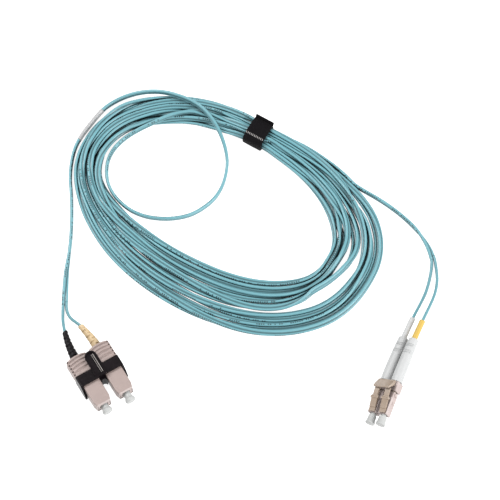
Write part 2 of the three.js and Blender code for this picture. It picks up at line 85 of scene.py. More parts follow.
class Nodes:
    """A short way to wire one material's nodes."""

    def __init__(self, colour, roughness, **sockets):
        self.material = bpy.data.materials.new("look")
        self.material.use_nodes = True
        self.tree = self.material.node_tree
        self.shader = self.tree.nodes["Principled BSDF"]
        self.shader.inputs["Base Color"].default_value = (*colour, 1)
        self.shader.inputs["Roughness"].default_value = roughness
        for socket, value in sockets.items():
            self.shader.inputs[socket.replace("_", " ")].default_value = value
        self.colour = colour

    def join(self, socket, value):
        if isinstance(value, bpy.types.NodeSocket):
            self.tree.links.new(value, socket)
        else:
            socket.default_value = value

    def add(self, kind, settings=None, **inputs):
        """Takes inputs by name, with _ for a space, or by number as i0, i1 and so on."""
        node = self.tree.nodes.new("ShaderNode" + kind)
        for key, value in (settings or {}).items():
            setattr(node, key, value)
        for key, value in inputs.items():
            numbered = key[0] == "i" and key[1:].isdigit()
            self.join(node.inputs[int(key[1:]) if numbered else key.replace("_", " ")], value)
        return node

    def math(self, operation, first, second=0.0, third=0.0):
        return self.add("Math", {"operation": operation}, i0=first, i1=second, i2=third).outputs[0]

    def product(self, first, *others):
        for other in others:
            first = self.math("MULTIPLY", first, other)
        return first

    def over(self, value, limit):
        return self.math("GREATER_THAN", value, limit)

    def under(self, value, limit):
        return self.math("LESS_THAN", value, limit)

    def apart(self, first, second):
        return self.math("ABSOLUTE", self.math("SUBTRACT", first, second))

    def cell(self, value, step):
        return self.math("FLOOR", self.math("DIVIDE", value, step))

    def within_cell(self, value, step):
        return self.math("FRACT", self.math("DIVIDE", value, step))

    def chance(self, value):
        return self.add("TexWhiteNoise", {"noise_dimensions": "1D"}, W=value).outputs[0]

    def lay(self):
        """How far along a swept piece, and how far round it, in metres."""
        run = self.add("UVMap", {"uv_map": "lay"}).outputs[0]
        return self.add("SeparateXYZ", Vector=run).outputs[:2]

    def place(self):
        return self.add("TexCoord").outputs["Object"]

    def noise(self, scale, detail=3.0, where=None):
        return self.add("TexNoise", Vector=where or self.place(), Scale=scale, Detail=detail).outputs["Fac"]

    def spread(self, value, low, high, low_to=0.0, high_to=1.0):
        return self.add("MapRange", Value=value, i1=low, i2=high, i3=low_to, i4=high_to).outputs[0]

    def mix(self, share, first, second):
        node = self.add("Mix", {"data_type": "RGBA"}, Factor=share)
        for number, value in ((6, first), (7, second)):
            self.join(node.inputs[number], (*value, 1) if isinstance(value, tuple) else value)
        return node.outputs[2]

    def tone(self, amount):
        return tuple(min(1.0, c * amount) for c in self.colour)

    def paint(self, colour):
        self.join(self.shader.inputs["Base Color"], colour)

    def gloss(self, value):
        self.join(self.shader.inputs["Roughness"], value)

    def bump(self, height, distance):
        node = self.add("Bump", Height=height, Distance=distance, Strength=1.0)
        self.join(self.shader.inputs["Normal"], node.outputs[0])


def plastic(colour, roughness, mottle=0.05, grain=0.00002, pale_edge_and_corner_shade=0.12, **sockets):
    """Moulded plastic: faint mottling, a fine spark-eroded grain, paler sharp edges, and painted shade
    darkening inward corners.
    """
    nodes = Nodes(colour, roughness, **sockets)
    patch = nodes.spread(nodes.noise(260), 0.35, 0.65)
    body = nodes.mix(patch, nodes.tone(1 - mottle), nodes.tone(1 + mottle))
    point = nodes.add("NewGeometry").outputs["Pointiness"]
    edge = nodes.spread(point, 0.52, 0.62, 0.0, pale_edge_and_corner_shade)
    # painted shade: inward corners, found by low pointiness, darken towards a third of the colour
    corner = nodes.spread(point, 0.48, 0.4, 0.0, pale_edge_and_corner_shade)
    body = nodes.mix(edge, body, tuple(0.55 + 0.45 * c for c in colour))
    nodes.paint(nodes.mix(corner, body, nodes.tone(0.35)))
    nodes.gloss(nodes.spread(nodes.noise(700), 0.3, 0.7, roughness - 0.05, roughness + 0.06))
    nodes.bump(nodes.noise(5200, 2.0), grain)
    return nodes.material


# where the print runs round the cord, and how far apart its characters, words and lines come
PRINT_GIRTH = 0.0028
CHARACTER, WORD, LINE = 0.00115, 0.0072, 0.23
# half the web's girth, and half the cord's
WEB_HALF, GIRTH_HALF = 0.000144, 0.004532


def jacket_material(colour, printed=True):
    """Soft extruded jacket: long faint streaks, a slight sheen, painted shade between neighbouring turns and,
    when printed, in the grooves beside the web, and small unreadable marks along one side.
    """
    nodes = Nodes(colour, 0.36, Specular_IOR_Level=0.5)
    along, girth = nodes.lay()
    stretched = nodes.add("CombineXYZ", X=nodes.product(along, 60.0), Y=nodes.product(girth, 900.0))
    streak = nodes.noise(1.0, 2.0, stretched.outputs[0])
    body = nodes.mix(nodes.spread(streak, 0.3, 0.7), nodes.tone(0.93), nodes.tone(1.07))
    body = nodes.mix(nodes.spread(nodes.noise(24.0, 2.0), 0.35, 0.65, 0.0, 0.25), body, nodes.tone(0.86))
    # painted shade between neighbouring turns, darker where ambient occlusion is strong
    open_sky = nodes.add("AmbientOcclusion", {"samples": 8}, Distance=0.0025).outputs["AO"]
    body = nodes.mix(nodes.spread(open_sky, 0.8, 0.38, 0.0, 0.97), body, nodes.tone(0.05))
    if printed:
        # painted shade in the groove on each side of the web
        half_way = nodes.within_cell(nodes.math("ADD", girth, WEB_HALF), GIRTH_HALF)
        from_web = nodes.math("SUBTRACT", 0.5, nodes.apart(half_way, 0.5))
        body = nodes.mix(nodes.spread(from_web, 0.2, 0.02, 0.0, 0.75), body, nodes.tone(0.22))
        # some characters and some words are blank
        cell = nodes.cell(along, CHARACTER)
        tall = nodes.math("MULTIPLY_ADD", nodes.chance(nodes.math("ADD", cell, 0.5)), 0.00014, 0.00034)
        marks = nodes.product(
            nodes.over(nodes.chance(cell), 0.22),
            nodes.over(nodes.chance(nodes.cell(along, WORD)), 0.2),
            nodes.under(nodes.within_cell(along, CHARACTER), 0.62),
            nodes.under(nodes.within_cell(along, LINE), 0.5),
            nodes.under(nodes.apart(girth, PRINT_GIRTH), tall),
            0.9,
        )
        body = nodes.mix(marks, body, (0.015, 0.03, 0.035))
    nodes.paint(body)
    nodes.gloss(nodes.spread(nodes.noise(350.0), 0.3, 0.7, 0.29, 0.42))
    nodes.bump(nodes.noise(2600.0, 2.0), 0.000018)
    return nodes.material


def metal(colour, roughness):
    """Turned or drawn metal, slightly uneven in colour and gloss."""
    nodes = Nodes(colour, roughness, Metallic=1.0)
    nodes.paint(nodes.mix(nodes.spread(nodes.noise(420), 0.3, 0.7), nodes.tone(0.86), nodes.tone(1.06)))
    nodes.gloss(nodes.spread(nodes.noise(1500), 0.3, 0.7, roughness - 0.06, roughness + 0.1))
    nodes.bump(nodes.noise(4000, 2.0), 0.00001)
    return nodes.material


RIB_STEP, END_STEP = 0.00045, 0.0006


def woven(colour):
    """Hook-and-loop strap: a ribbed weave under short fuzzy hooks, coloured paler on its raised threads and
    darker in its hollows as painted highlight and shade.
    """
    nodes = Nodes(colour, 0.7, Specular_IOR_Level=0.06, Sheen_Weight=0.02, Sheen_Roughness=0.4)
    along, girth = nodes.lay()
    ribs = nodes.math("SINE", nodes.product(along, 2 * math.pi / RIB_STEP))
    ends = nodes.math("SINE", nodes.product(girth, 2 * math.pi / END_STEP))
    hooks = nodes.add("TexVoronoi", Vector=nodes.place(), Scale=2600.0).outputs["Distance"]
    height = nodes.math("ADD", nodes.product(ribs, ends, 0.5), hooks)
    # painted highlight and shade: the colour follows the weave's relief
    nodes.paint(nodes.mix(nodes.spread(height, -0.3, 1.0), nodes.tone(0.7), nodes.tone(1.7)))
    nodes.bump(height, 0.00009)
    return nodes.material


def film(colour):
    """Glossy printed wrap with faint grey bars where a legend would be."""
    nodes = Nodes(colour, 0.28, Coat_Weight=0.4, Coat_Roughness=0.12)
    along, girth = nodes.lay()
    row = nodes.over(nodes.within_cell(girth, 0.0016), 0.62)
    ink = nodes.over(nodes.chance(nodes.cell(along, 0.0013)), 0.45)
    clear = nodes.under(nodes.apart(along, 0.0105), 0.0075)
    nodes.paint(nodes.mix(nodes.product(row, ink, clear, 0.1), colour, (0.25, 0.26, 0.28)))
    nodes.bump(nodes.noise(900, 3.0), 0.00002)
    return nodes.material


LOOKS = {
    "cord_jacket": jacket_material((0.118, 0.284, 0.322)),
    "leg_jacket": jacket_material((0.104, 0.25, 0.284), printed=False),
    "connector_beige": plastic((0.262, 0.203, 0.187), 0.42, mottle=0.03),
    "lc_beige": plastic((0.335, 0.272, 0.257), 0.42, mottle=0.03),
    "latch_tan": plastic((0.242, 0.178, 0.128), 0.42, mottle=0.03),
    "clip_black": plastic(
        (0.0055, 0.0036, 0.0046), 0.25, mottle=0.2, grain=0.000003, pale_edge_and_corner_shade=0.004,
        Specular_IOR_Level=0.07,
    ),
    # pale ridges on the black clip: a painted highlight
    "clip_ridges": plastic((0.2, 0.178, 0.165), 0.35, pale_edge_and_corner_shade=0.1),
    "boot_black": plastic(
        (0.0075, 0.006, 0.0075), 0.5, mottle=0.2, pale_edge_and_corner_shade=0.01, Specular_IOR_Level=0.12
    ),
    "boot_cream": plastic((0.455, 0.338, 0.195), 0.55, mottle=0.03),
    "boot_white": plastic((0.385, 0.39, 0.39), 0.5, mottle=0.015, pale_edge_and_corner_shade=0.05),
    "sleeve_white": plastic((0.405, 0.408, 0.408), 0.45, mottle=0.015, pale_edge_and_corner_shade=0.05),
    "sleeve_yellow": plastic((0.45, 0.3, 0.05), 0.45, mottle=0.03, pale_edge_and_corner_shade=0.05),
    "cap_clear": plastic((0.36, 0.366, 0.36), 0.4, mottle=0.02, pale_edge_and_corner_shade=0.0, Specular_IOR_Level=0.25),
    "ferrule_ceramic": plastic((0.42, 0.41, 0.38), 0.12, mottle=0.01, grain=0.000002, pale_edge_and_corner_shade=0.02),
    "spring_steel": metal((0.55, 0.56, 0.58), 0.26),
    "crimp_metal": metal((0.6, 0.6, 0.6), 0.34),
    "rear_body_metal": metal((0.42, 0.35, 0.24), 0.3),
    "tie_black": woven((0.0035, 0.003, 0.0036)),
    "stitches": plastic((0.26, 0.24, 0.235), 0.7),
    "label_white": film((0.335, 0.335, 0.338)),
}
for look_name, material in LOOKS.items():
    material.name = look_name

# ---- the coil: how the zip cord lies, turn by turn, in mm ----

LEG_RADIUS = 0.8
LEG_SPACING = 1.7
COIL = {"x": -9.7, "y": 94.6, "long": 76.0, "short": 46.5, "turn": -31.0}
# round the coil, every 30 degrees: how far out its middle lies, and how wide the bundle is
COIL_REACH = [0.98, 1.022, 1.022, 0.965, 1.012, 0.988, 0.98, 1.008, 0.99, 0.985, 1.014, 0.999]
COIL_WIDTH = [27, 26.5, 19, 14.5, 16, 15.5, 14.5, 15, 23.5, 28.5, 31.5, 29.5]
# how much the cord stands on edge there: fully in the bends, hardly where the bundle spreads
COIL_EDGE = [1, 1, 1, 1, 1, 1, 0.9, 0.55, 0.12, 0, 0.05, 0.8]
COIL_ROOF = 6.6
# how far a turn's middle stays from the edge of the bundle or of a slit
CLEAR = 1.2
TIE_ANGLE = 92.5
TIE_FLOOR = 1.5
TIE_ROOM = (11.4, 6.9)
# how far from the tie, in mm, the bundle is drawn in and lifted
WAIST_REACH, FLOOR_REACH = 13.0, 17.0
STATIONS = 128
EDGE = math.radians(86)
# where the turns part: from and to which angle, how far out at each, the widest, and the share inside it
SLITS = [
    (14.0, -27.0, 1.8, -3.1, 4.8, 0.59),
    (19.0, -7.0, -4.3, -5.3, 2.8, 0.41),
    (49.0, 34.0, 4.6, 7.6, 1.4, 0.77),
]
# the order of the turns is drawn at knots round the coil, and some knots keep the order of an earlier one
KNOTS, KNOT_LEADS, KNOTS_HELD = 8, 3, (2, 4)
RANK_BLUR = 5
FULL_TURNS = 12
LOOSE_TILT = 20
# where the cord enters and leaves the coil: its angle, how far out it is there, and its height
COIL_ENTRY = (122.25, -2.39, 5.6)
COIL_EXIT = (51.25, 9.77, 1.66)
# over how many stations its ends join the bundle, and its start comes down to it
END_REACH, DESCENT_REACH = 9.0, 14.0


def around(values, degrees):
    """A value at an angle, smoothly between the entries of a closed list."""
    values = np.asarray(values, float)
    place = (np.asarray(degrees, float) / 360 * len(values)) % len(values)
    index = np.floor(place).astype(int)
    s = place - index
    before, here, ahead, after = (values[(index + k) % len(values)] for k in (-1, 0, 1, 2))
    return (
        (2 * s**3 - 3 * s**2 + 1) * here
        + (s**3 - 2 * s**2 + s) * (ahead - before) / 2
        + (3 * s**2 - 2 * s**3) * ahead
        + (s**3 - s**2) * (after - here) / 2
    )


def coil_middle(degrees):
    reach = around(COIL_REACH, degrees)
    turn, angle = math.radians(COIL["turn"]), np.radians(degrees)
    along = COIL["long"] * reach * np.cos(angle)
    across = COIL["short"] * reach * np.sin(angle)
    x = COIL["x"] + along * math.cos(turn) - across * math.sin(turn)
    y = COIL["y"] + along * math.sin(turn) + across * math.cos(turn)
    return np.stack([x, y], -1)


def unit(vectors):
    return vectors / np.linalg.norm(vectors, axis=-1, keepdims=True)


def coil_outward(degrees):
    degrees = np.asarray(degrees, float)
    heading = unit(coil_middle(degrees + 0.5) - coil_middle(degrees - 0.5))
    return np.stack([heading[..., 1], -heading[..., 0]], -1)


def wander(rng, count, keep, step):
    values = np.zeros(count)
    for i in range(1, count):
        values[i] = keep * values[i - 1] + rng.normal() * step
    return values


def hump(values, reach, power=2):
    return np.exp(-((values / reach) ** power))


def draw_turns(samples, laps, seed=31):
    """Each place's share of the way across the bundle, which changes slowly, and its tilt if loose."""
    rng = np.random.default_rng(seed)
    n = np.arange(laps * STATIONS)
    per = STATIONS // KNOTS
    count = len(n) // per + 2
    score = np.arange(count) * per / STATIONS * 0.5 + wander(rng, count, 0.8, 1.3)
    for held in KNOTS_HELD:
        same = min(len(score[held::KNOTS]), len(score[KNOT_LEADS::KNOTS]))
        score[held::KNOTS][:same] = score[KNOT_LEADS::KNOTS][:same]
    # the last turn leaves from the outside
    score[(samples - 1) // per - 1 :] = 99.0
    left = n // per
    share = n / per - left
    share = share * share * (3 - 2 * share)
    score = (score[left] * (1 - share) + score[left + 1] * share).reshape(laps, STATIONS)
    there = (n < samples).reshape(laps, STATIONS)
    score[~there] = np.inf
    rank = np.argsort(np.argsort(score, axis=0), axis=0) / (there.sum(0) - 1)
    window = 2 * RANK_BLUR + 1
    rank = np.convolve(np.pad(rank.ravel(), RANK_BLUR, "edge"), np.full(window, 1 / window))
    lean = rng.uniform(0, LOOSE_TILT, count) * rng.choice([-1, 1], count)
    return rank[window - 1 : 1 - window], np.interp(n, np.arange(count) * per, np.radians(lean))


def part_turns(degrees, rank, target):
    """Moves the turns out of the slits, and says how near and how far out each may lie."""
    nearest = np.full(len(rank), -1e3)
    farthest = -nearest
    for start, stop, out_start, out_stop, widest, split in SLITS:
        share = ((start - degrees) % 360) / (start - stop)
        room = widest / 2 * np.sqrt(np.clip(4 * share * (1 - share), 0, 1))
        middle = out_start + (out_stop - out_start) * share
        outer = (share < 1) & (rank > split)
        inner = (share < 1) & (rank < split)
        nearest = np.where(outer, np.maximum(nearest, middle + room + LEG_RADIUS), nearest)
        farthest = np.where(inner, np.minimum(farthest, middle - room - LEG_RADIUS), farthest)
        target = np.where(outer, np.maximum(target, middle + room + CLEAR), target)
        target = np.where(inner, np.minimum(target, middle - room - CLEAR), target)
    return nearest, farthest, target


def let_settle(legs, samples, target, draw, reach, heights, rounds=620):
    """Lets the turns settle: each is a pair of round legs at a station, and pushes others aside."""
    laps = len(legs) // STATIONS
    (lowest_out, highest_out), (floor, roof) = reach, heights
    live = (np.arange(len(legs)) < samples)[:, None]
    same = np.kron(np.eye(laps), np.ones((2, 2))).astype(bool)
    touching = 2 * LEG_RADIUS + 0.02
    pinned = legs[[0, samples - 1]].copy()
    for end, (_, out, up) in enumerate((COIL_ENTRY, COIL_EXIT)):
        pinned[end] += np.array([out, up]) - pinned[end].mean(0)
    # the turns fall and draw to their places until they rest, and the roof closes in part of the way through
    fall, push, rest_from, roof_from = 0.035, 0.62, 0.85, 0.35
    stiff, stiff_resting, press = 0.45, 0.18, 0.35
    for turn in range(rounds):
        resting = turn / rounds > rest_from
        if not resting:
            legs[:, :, 1] -= fall
            legs[:, :, 0] += (draw * (target - legs[:, :, 0].mean(1)))[:, None]
        # along the cord: stiff enough to bridge, so that a crossing is a long low hump
        inner = legs[1 : samples - 1]
        bridge = 0.5 * (legs[: samples - 2] + legs[2:samples])
        inner += (stiff_resting if resting else stiff) * (bridge - inner)
        legs[[0, samples - 1]] = pinned
        for _ in range(2):
            # across the bundle: no two legs in the same place
            grid = legs.reshape(laps, STATIONS, 2, 2).transpose(1, 0, 2, 3).reshape(STATIONS, 2 * laps, 2)
            apart = grid[:, :, None] - grid[:, None]
            length = np.sqrt((apart**2).sum(-1)) + 1e-9
            overlap = np.clip(touching - length, 0, None)
            overlap[:, same] = 0
            grid = grid + push * (apart * (0.5 * overlap / length)[..., None]).sum(2)
            out = grid[:, :, 0]
            bound = np.clip(out, lowest_out, highest_out)
            grid[:, :, 0] = np.where(np.abs(out) < 100, out + 0.5 * (bound - out), out)
            low = np.maximum(grid[:, :, 1], floor)
            grid[:, :, 1] = low
            if turn / rounds > roof_from:
                grid[:, :, 1] = np.where(low < 100, low + press * (np.minimum(low, roof) - low), low)
            legs = grid.reshape(STATIONS, laps, 2, 2).transpose(1, 0, 2, 3).reshape(-1, 2, 2)
            # the two legs of one cord keep their spacing
            across = legs[:, 1] - legs[:, 0]
            size = np.linalg.norm(across, axis=-1, keepdims=True) + 1e-9
            shift = 0.5 * (1 - LEG_SPACING / size) * across
            legs[:, 0] += shift
            legs[:, 1] -= shift
        lifted = np.maximum(legs[:, :, 1], np.tile(floor, (laps, 1)))
        legs[:, :, 1] = np.where(live, lifted, legs[:, :, 1])
    return legs[:samples]


def wind_coil():
    """The coil from its entry to its exit: x, y and height of the cord's middle, and its tilt."""
    step = 360 / STATIONS
    samples = int(round((COIL_ENTRY[0] - COIL_EXIT[0] + 360 * FULL_TURNS) / step)) + 1
    laps = -(-samples // STATIONS)
    n = np.arange(laps * STATIONS)
    live = n < samples
    lap = n // STATIONS
    stations = COIL_ENTRY[0] - np.arange(STATIONS) * step
    degrees = np.tile(stations, laps)

    def each_leg(values):
        """Values along the cord, as a row for each station with an entry for each leg that crosses it."""
        return np.repeat(values.reshape(laps, STATIONS).T, 2, axis=1)

    # the tie draws the bundle in and lifts it
    distance = np.linalg.norm(coil_middle(stations) - coil_middle(TIE_ANGLE), axis=-1)
    waist = hump(distance, WAIST_REACH, 4)
    floor = TIE_FLOOR * hump(distance, FLOOR_REACH, 4)
    half = np.tile(around(COIL_WIDTH, stations) / 2 * (1 - waist) + TIE_ROOM[0] / 2 * waist, laps)
    roof = np.tile(COIL_ROOF * (1 - waist) + (TIE_FLOOR + TIE_ROOM[1]) * waist, laps)
    on_edge = np.tile(np.clip(around(COIL_EDGE, stations), 0, 1), laps)

    rank, loose = draw_turns(samples, laps)
    target = (2 * rank - 1) * (half - CLEAR - 0.6 * (1 - on_edge))
    nearest, farthest, target = part_turns(degrees, rank, target)
    height = LEG_RADIUS + 1.15 * lap + 0.3 * np.tile(floor, laps)
    # both ends come in flat from outside the bundle
    from_entry = hump(n, END_REACH)
    from_exit = hump(n - samples + 1, END_REACH) * live
    coming_down = hump(n, DESCENT_REACH)
    inside = 1 - from_entry - from_exit
    target = target * inside + COIL_ENTRY[1] * from_entry + COIL_EXIT[1] * from_exit
    height = height * (1 - from_exit) + COIL_EXIT[2] * from_exit
    height = np.maximum(height, COIL_ENTRY[2] * coming_down)
    lid = np.maximum(roof, (COIL_ENTRY[2] + 3) * coming_down)
    allowed = np.maximum(half, (abs(COIL_ENTRY[1]) + 2) * from_entry + (COIL_EXIT[1] + 2) * from_exit)
    standing = math.radians(84) * np.where(lap % 3 == 1, -1, 1)
    tilt = on_edge * standing + (1 - on_edge) * loose
    tilt = tilt * inside + EDGE * (from_entry + np.sign(tilt[samples - 20]) * from_exit)

    # for each place along the cord, both legs' distance out and height
    reach = np.array([-1, 1]) * LEG_SPACING / 2
    out = target[:, None] + reach * np.cos(tilt)[:, None]
    up = height[:, None] + LEG_SPACING / 2 + reach * np.sin(tilt)[:, None]
    legs = np.stack([out, up], -1)
    # places after the cord's end wait far away
    legs[~live] += 500 + 10 * np.arange((~live).sum())[:, None, None]
    limit = each_leg(allowed) - LEG_RADIUS
    bounds = np.maximum(-limit, each_leg(nearest)), np.minimum(limit, each_leg(farthest))
    heights = floor[:, None] + LEG_RADIUS, each_leg(lid) - LEG_RADIUS
    legs = let_settle(legs, samples, target, 0.03 + 0.07 * (1 - on_edge), bounds, heights)

    degrees = degrees[:samples]
    centre = legs.mean(1)
    across = legs[:, 1] - legs[:, 0]
    flat = coil_middle(degrees) + coil_outward(degrees) * centre[:, :1]
    return np.column_stack([flat, centre[:, 1]]), np.unwrap(np.arctan2(across[:, 1], across[:, 0]))


# ---- routes of the cord outside the coil (x, y, height of its middle), given one by one ----

SC_TAIL = [
    (-89.4, 40, 0.85), (-89.3, 47.4, 1.0), (-88.9, 58.4, 1.5), (-87.9, 67.6, 1.65), (-87.2, 76.9, 1.65),
    (-87, 86.2, 1.65), (-87.2, 94.9, 1.65), (-87.7, 103.5, 1.65), (-88.3, 110, 1.65), (-88, 118.8, 1.7),
    (-86.4, 127.5, 1.8), (-83.9, 133.6, 2), (-78.6, 141.8, 2.2), (-71.8, 150.7, 2.2), (-66.9, 154.6, 2.2),
    (-60.9, 157.9, 2.2), (-53.9, 159.9, 2.8), (-46.9, 159.9, 4.6), (-40.8, 158.6, 6.6), (-34.8, 156.5, 8),
    (-26.8, 153, 8.6), (-20.3, 148.5, 8.8), (-14.8, 142, 8.6), (-10.8, 135.2, 7), (-8, 127.9, 4),
    (-6.8, 120.9, 2), (-7.5, 113.3, 1.65), (-9.7, 105.7, 1.65), (-13.6, 99.2, 1.65), (-19.5, 93.8, 1.65),
    (-26.3, 90, 1.65), (-34.2, 88.2, 1.65), (-42, 88.1, 1.65), (-49.9, 89.6, 1.65), (-56.8, 92.9, 1.65),
    (-62.3, 97.6, 1.65), (-66.4, 103, 1.65), (-68.8, 108.9, 1.65), (-69.5, 115.5, 1.65), (-68.6, 122.1, 1.65),
    (-65.4, 128.6, 1.7), (-59.5, 134.6, 2.1), (-52.6, 138.7, 3.2), (-45.6, 141.9, 4.3), (-38.7, 144.9, 5.2),
    (-31.5, 146.9, 5.6),
]
LC_TAIL = [
    (65.2, 103.2, 1.65), (71.3, 99.3, 1.65), (78.1, 94.3, 1.65), (84.7, 88.5, 1.65), (90.3, 82.5, 1.65),
    (94.6, 76.3, 1.5), (97.6, 70.2, 1.2), (99.1, 65.3, 0.9),
]


def steps_along(points):
    return np.linalg.norm(np.diff(np.asarray(points, float)[:, :3], axis=0), axis=1)


def run_of(points):
    return np.concatenate([[0], np.cumsum(steps_along(points))])


def between(first, second, start, stop, at):
    return ((stop - at) * first + (at - start) * second) / (stop - start)


def spline(points, spacing):
    """A centripetal Catmull-Rom curve through points, sampled evenly."""
    p = np.asarray(points, float)
    p = np.vstack([2 * p[0] - p[1], p, 2 * p[-1] - p[-2]])
    t = np.concatenate([[0], np.cumsum(steps_along(p) ** 0.5)])
    dense = []
    for i in range(1, len(p) - 2):
        u = np.linspace(t[i], t[i + 1], 24, endpoint=False)[:, None]
        a = [between(p[k], p[k + 1], t[k], t[k + 1], u) for k in (i - 1, i, i + 1)]
        b = [between(a[k], a[k + 1], t[i - 1 + k], t[i + 1 + k], u) for k in (0, 1)]
        dense.append(between(*b, t[i], t[i + 1], u))
    dense = np.vstack([*dense, p[-2:-1]])
    run = run_of(dense)
    even = np.linspace(0, run[-1], int(round(run[-1] / spacing)) + 1)
    return np.stack([np.interp(even, run, way) for way in dense.T], 1)


def frames(points, tilt):
    """Tangent, sideways and upward directions along a path, tilted about it."""
    tangent = unit(np.gradient(points, axis=0))
    side = unit(np.cross([0, 0, 1], tangent))
    up = np.cross(tangent, side)
    c, s = np.cos(tilt)[:, None], np.sin(tilt)[:, None]
    return tangent, c * side + s * up, c * up - s * side


def mesh_piece(name, verts, faces, look, uvs=None):
    """verts are in metres; uvs, if any, are one pair for each corner of each face."""
    mesh = bpy.data.meshes.new(name)
    mesh.from_pydata([tuple(v) for v in verts], [], faces)
    if uvs is not None:
        mesh.uv_layers.new(name="lay").data.foreach_set("uv", np.asarray(uvs, np.float32).ravel())
    mesh.polygons.foreach_set("use_smooth", [True] * len(mesh.polygons))
    mesh.validate()
    mesh.update()
    mesh.materials.append(LOOKS[look])
    obj = link(name, mesh)
    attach(obj, ROOT)
    return obj


def quads(count, sides, closed=False):
    """Faces between rings of points, and from the last ring to the first if closed."""
    faces = []
    for i in range(count if closed else count - 1):
        for k in range(sides):
            here, ahead, m = i * sides, (i + 1) % count * sides, (k + 1) % sides
            faces.append((here + k, here + m, ahead + m, ahead + k))
    return faces


def skin(run, girth):
    """Faces over rings of points with both ends closed, and their UVs; run and girth are in mm."""
    count, sides = len(run), len(girth) - 1
    ends = [tuple(range(sides))[::-1], tuple(range((count - 1) * sides, count * sides))]
    corners = []
    for near, far in zip(run, run[1:]):
        for low, high in zip(girth, girth[1:]):
            corners += [(near, low), (near, high), (far, high), (far, low)]
    corners += [(0.0, 0.0)] * sides + [(run[-1], 0.0)] * sides
    return quads(count, sides) + ends, np.array(corners) * MM


def sweep(name, points, section, look, tilt=None, scale=None):
    """Sweeps a closed section (across, up) in mm along points in mm."""
    count = len(points)
    _, side, up = frames(points, np.zeros(count) if tilt is None else tilt)
    section = np.asarray(section, float)
    scale = np.ones(count) if scale is None else scale
    offset = section[None, :, :1] * side[:, None] + section[None, :, 1:] * up[:, None]
    rings = points[:, None] + offset * scale[:, None, None]
    faces, uvs = skin(run_of(points), run_of([*section, section[0]]))
    return mesh_piece(name, rings.reshape(-1, 3) * MM, faces, look, uvs)


def add_cord(name, points, section, look, nodes, tilt=None):
    cord = sweep(name, points, section, look, tilt)
    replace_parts(cord, *nodes)
    float(steps_along(points).sum()) * MM


def zip_section():
    """Two round legs joined by a thin web."""
    corner = math.radians(28)
    angles = np.linspace(-math.pi + corner, math.pi - corner, 12)
    right = [(LEG_SPACING / 2 + LEG_RADIUS * math.cos(a), LEG_RADIUS * math.sin(a)) for a in angles]
    return right + [(-x, -y) for x, y in right]


def zip_line():
    """The whole zip cord: x, y, height and tilt."""
    coil, tilt = wind_coil()
    # the tails stand on edge, as a flat cord does in a bend, and lie flat where they divide
    first_tilt = EDGE * np.clip(np.arange(len(SC_TAIL)) / 3.0, 0, 1)
    turned = round(tilt[-1] / math.pi - 0.5) * math.pi + math.pi / 2
    last_steps = np.arange(len(LC_TAIL)) - len(LC_TAIL) + 4
    last_tilt = turned + (math.pi / 2 - 0.1) * np.clip(last_steps / 3.0, 0, 1)
    stretches = ((SC_TAIL, first_tilt), (coil, tilt), (LC_TAIL, last_tilt))
    whole = spline(np.vstack([np.column_stack(stretch) for stretch in stretches]), 2.6)
    whole[:, 2] = np.maximum(whole[:, 2], LEG_RADIUS + LEG_SPACING / 2 * abs(np.sin(whole[:, 3])) * 0.999)
    return whole


line = zip_line()
add_cord(
    "zip_cord", line[:, :3], zip_section(), "cord_jacket",
    ("cord_coil", "cord_sc_tail", "cord_lc_tail"), line[:, 3],
)

# ---- making solid shapes in a connector's own millimetres ----


def soften(points, radius, steps=3, closed=False):
    """Rounds the corners of a line of points, by up to a radius."""
    points = [np.asarray(p, float) for p in points]
    count = len(points)
    result = []
    for index, corner in enumerate(points):
        if not closed and index in (0, count - 1):
            result.append(corner)
            continue
        ways = (points[index - 1] - corner, points[(index + 1) % count] - corner)
        start, stop = (corner + unit(way) * min(radius, np.linalg.norm(way) * 0.45) for way in ways)
        for t in np.arange(steps + 1) / steps:
            result.append((1 - t) ** 2 * start + 2 * t * (1 - t) * corner + t**2 * stop)
    return result


def face_outwards(mesh, weld=False):
    work = bmesh.new()
    work.from_mesh(mesh)
    if weld:
        bmesh.ops.remove_doubles(work, verts=work.verts, dist=1e-4)
        bmesh.ops.dissolve_degenerate(work, edges=work.edges, dist=1e-5)
    bmesh.ops.recalc_face_normals(work, faces=work.faces)
    work.to_mesh(mesh)
    work.free()


def shape(verts, faces):
    mesh = bpy.data.meshes.new("shape")
    mesh.from_pydata([tuple(map(float, v)) for v in verts], [], faces)
    face_outwards(mesh, weld=True)
    return link("shape", mesh)


def loft(rings, closed=False):
    """Skins rings of points: closed on itself, or with both ends capped."""
    rings = np.asarray(rings, float)
    count, sides = rings.shape[:2]
    verts = list(rings.reshape(-1, 3))
    faces = quads(count, sides, closed)
    if not closed:
        for first, sign in ((0, -1), (count - 1, 1)):
            verts.append(rings[first].mean(0))
            for k in range(sides):
                edge = (first * sides + k, first * sides + (k + 1) % sides)
                faces.append((*edge[::sign], len(verts) - 1))
    return shape(verts, faces)


def prism(outline, low, high, plane="xy"):
    """An outline in a plane, from one height to another along the third direction."""
    first, second, third = {"xy": (0, 1, 2), "yz": (1, 2, 0), "xz": (0, 2, 1)}[plane]
    count = len(outline)
    verts = np.zeros((2 * count, 3))
    verts[:, [first, second]] = np.vstack([outline, outline])
    verts[:, third] = np.repeat([low, high], count)
    faces = [tuple(range(count)), tuple(range(count, 2 * count))]
    faces += [(k, (k + 1) % count, count + (k + 1) % count, count + k) for k in range(count)]
    return shape(verts, faces)


def flank(outline, x, hand, near, far):
    """A prism on one hand of x, from a near distance to a far one, with its outline seen from the side."""
    return prism(outline, *sorted((x + hand * near, x + hand * far)), "yz")


def block(low, high):
    (x0, y0, z0), (x1, y1, z1) = low, high
    return prism([(x0, y0), (x1, y0), (x1, y1), (x0, y1)], z0, z1)


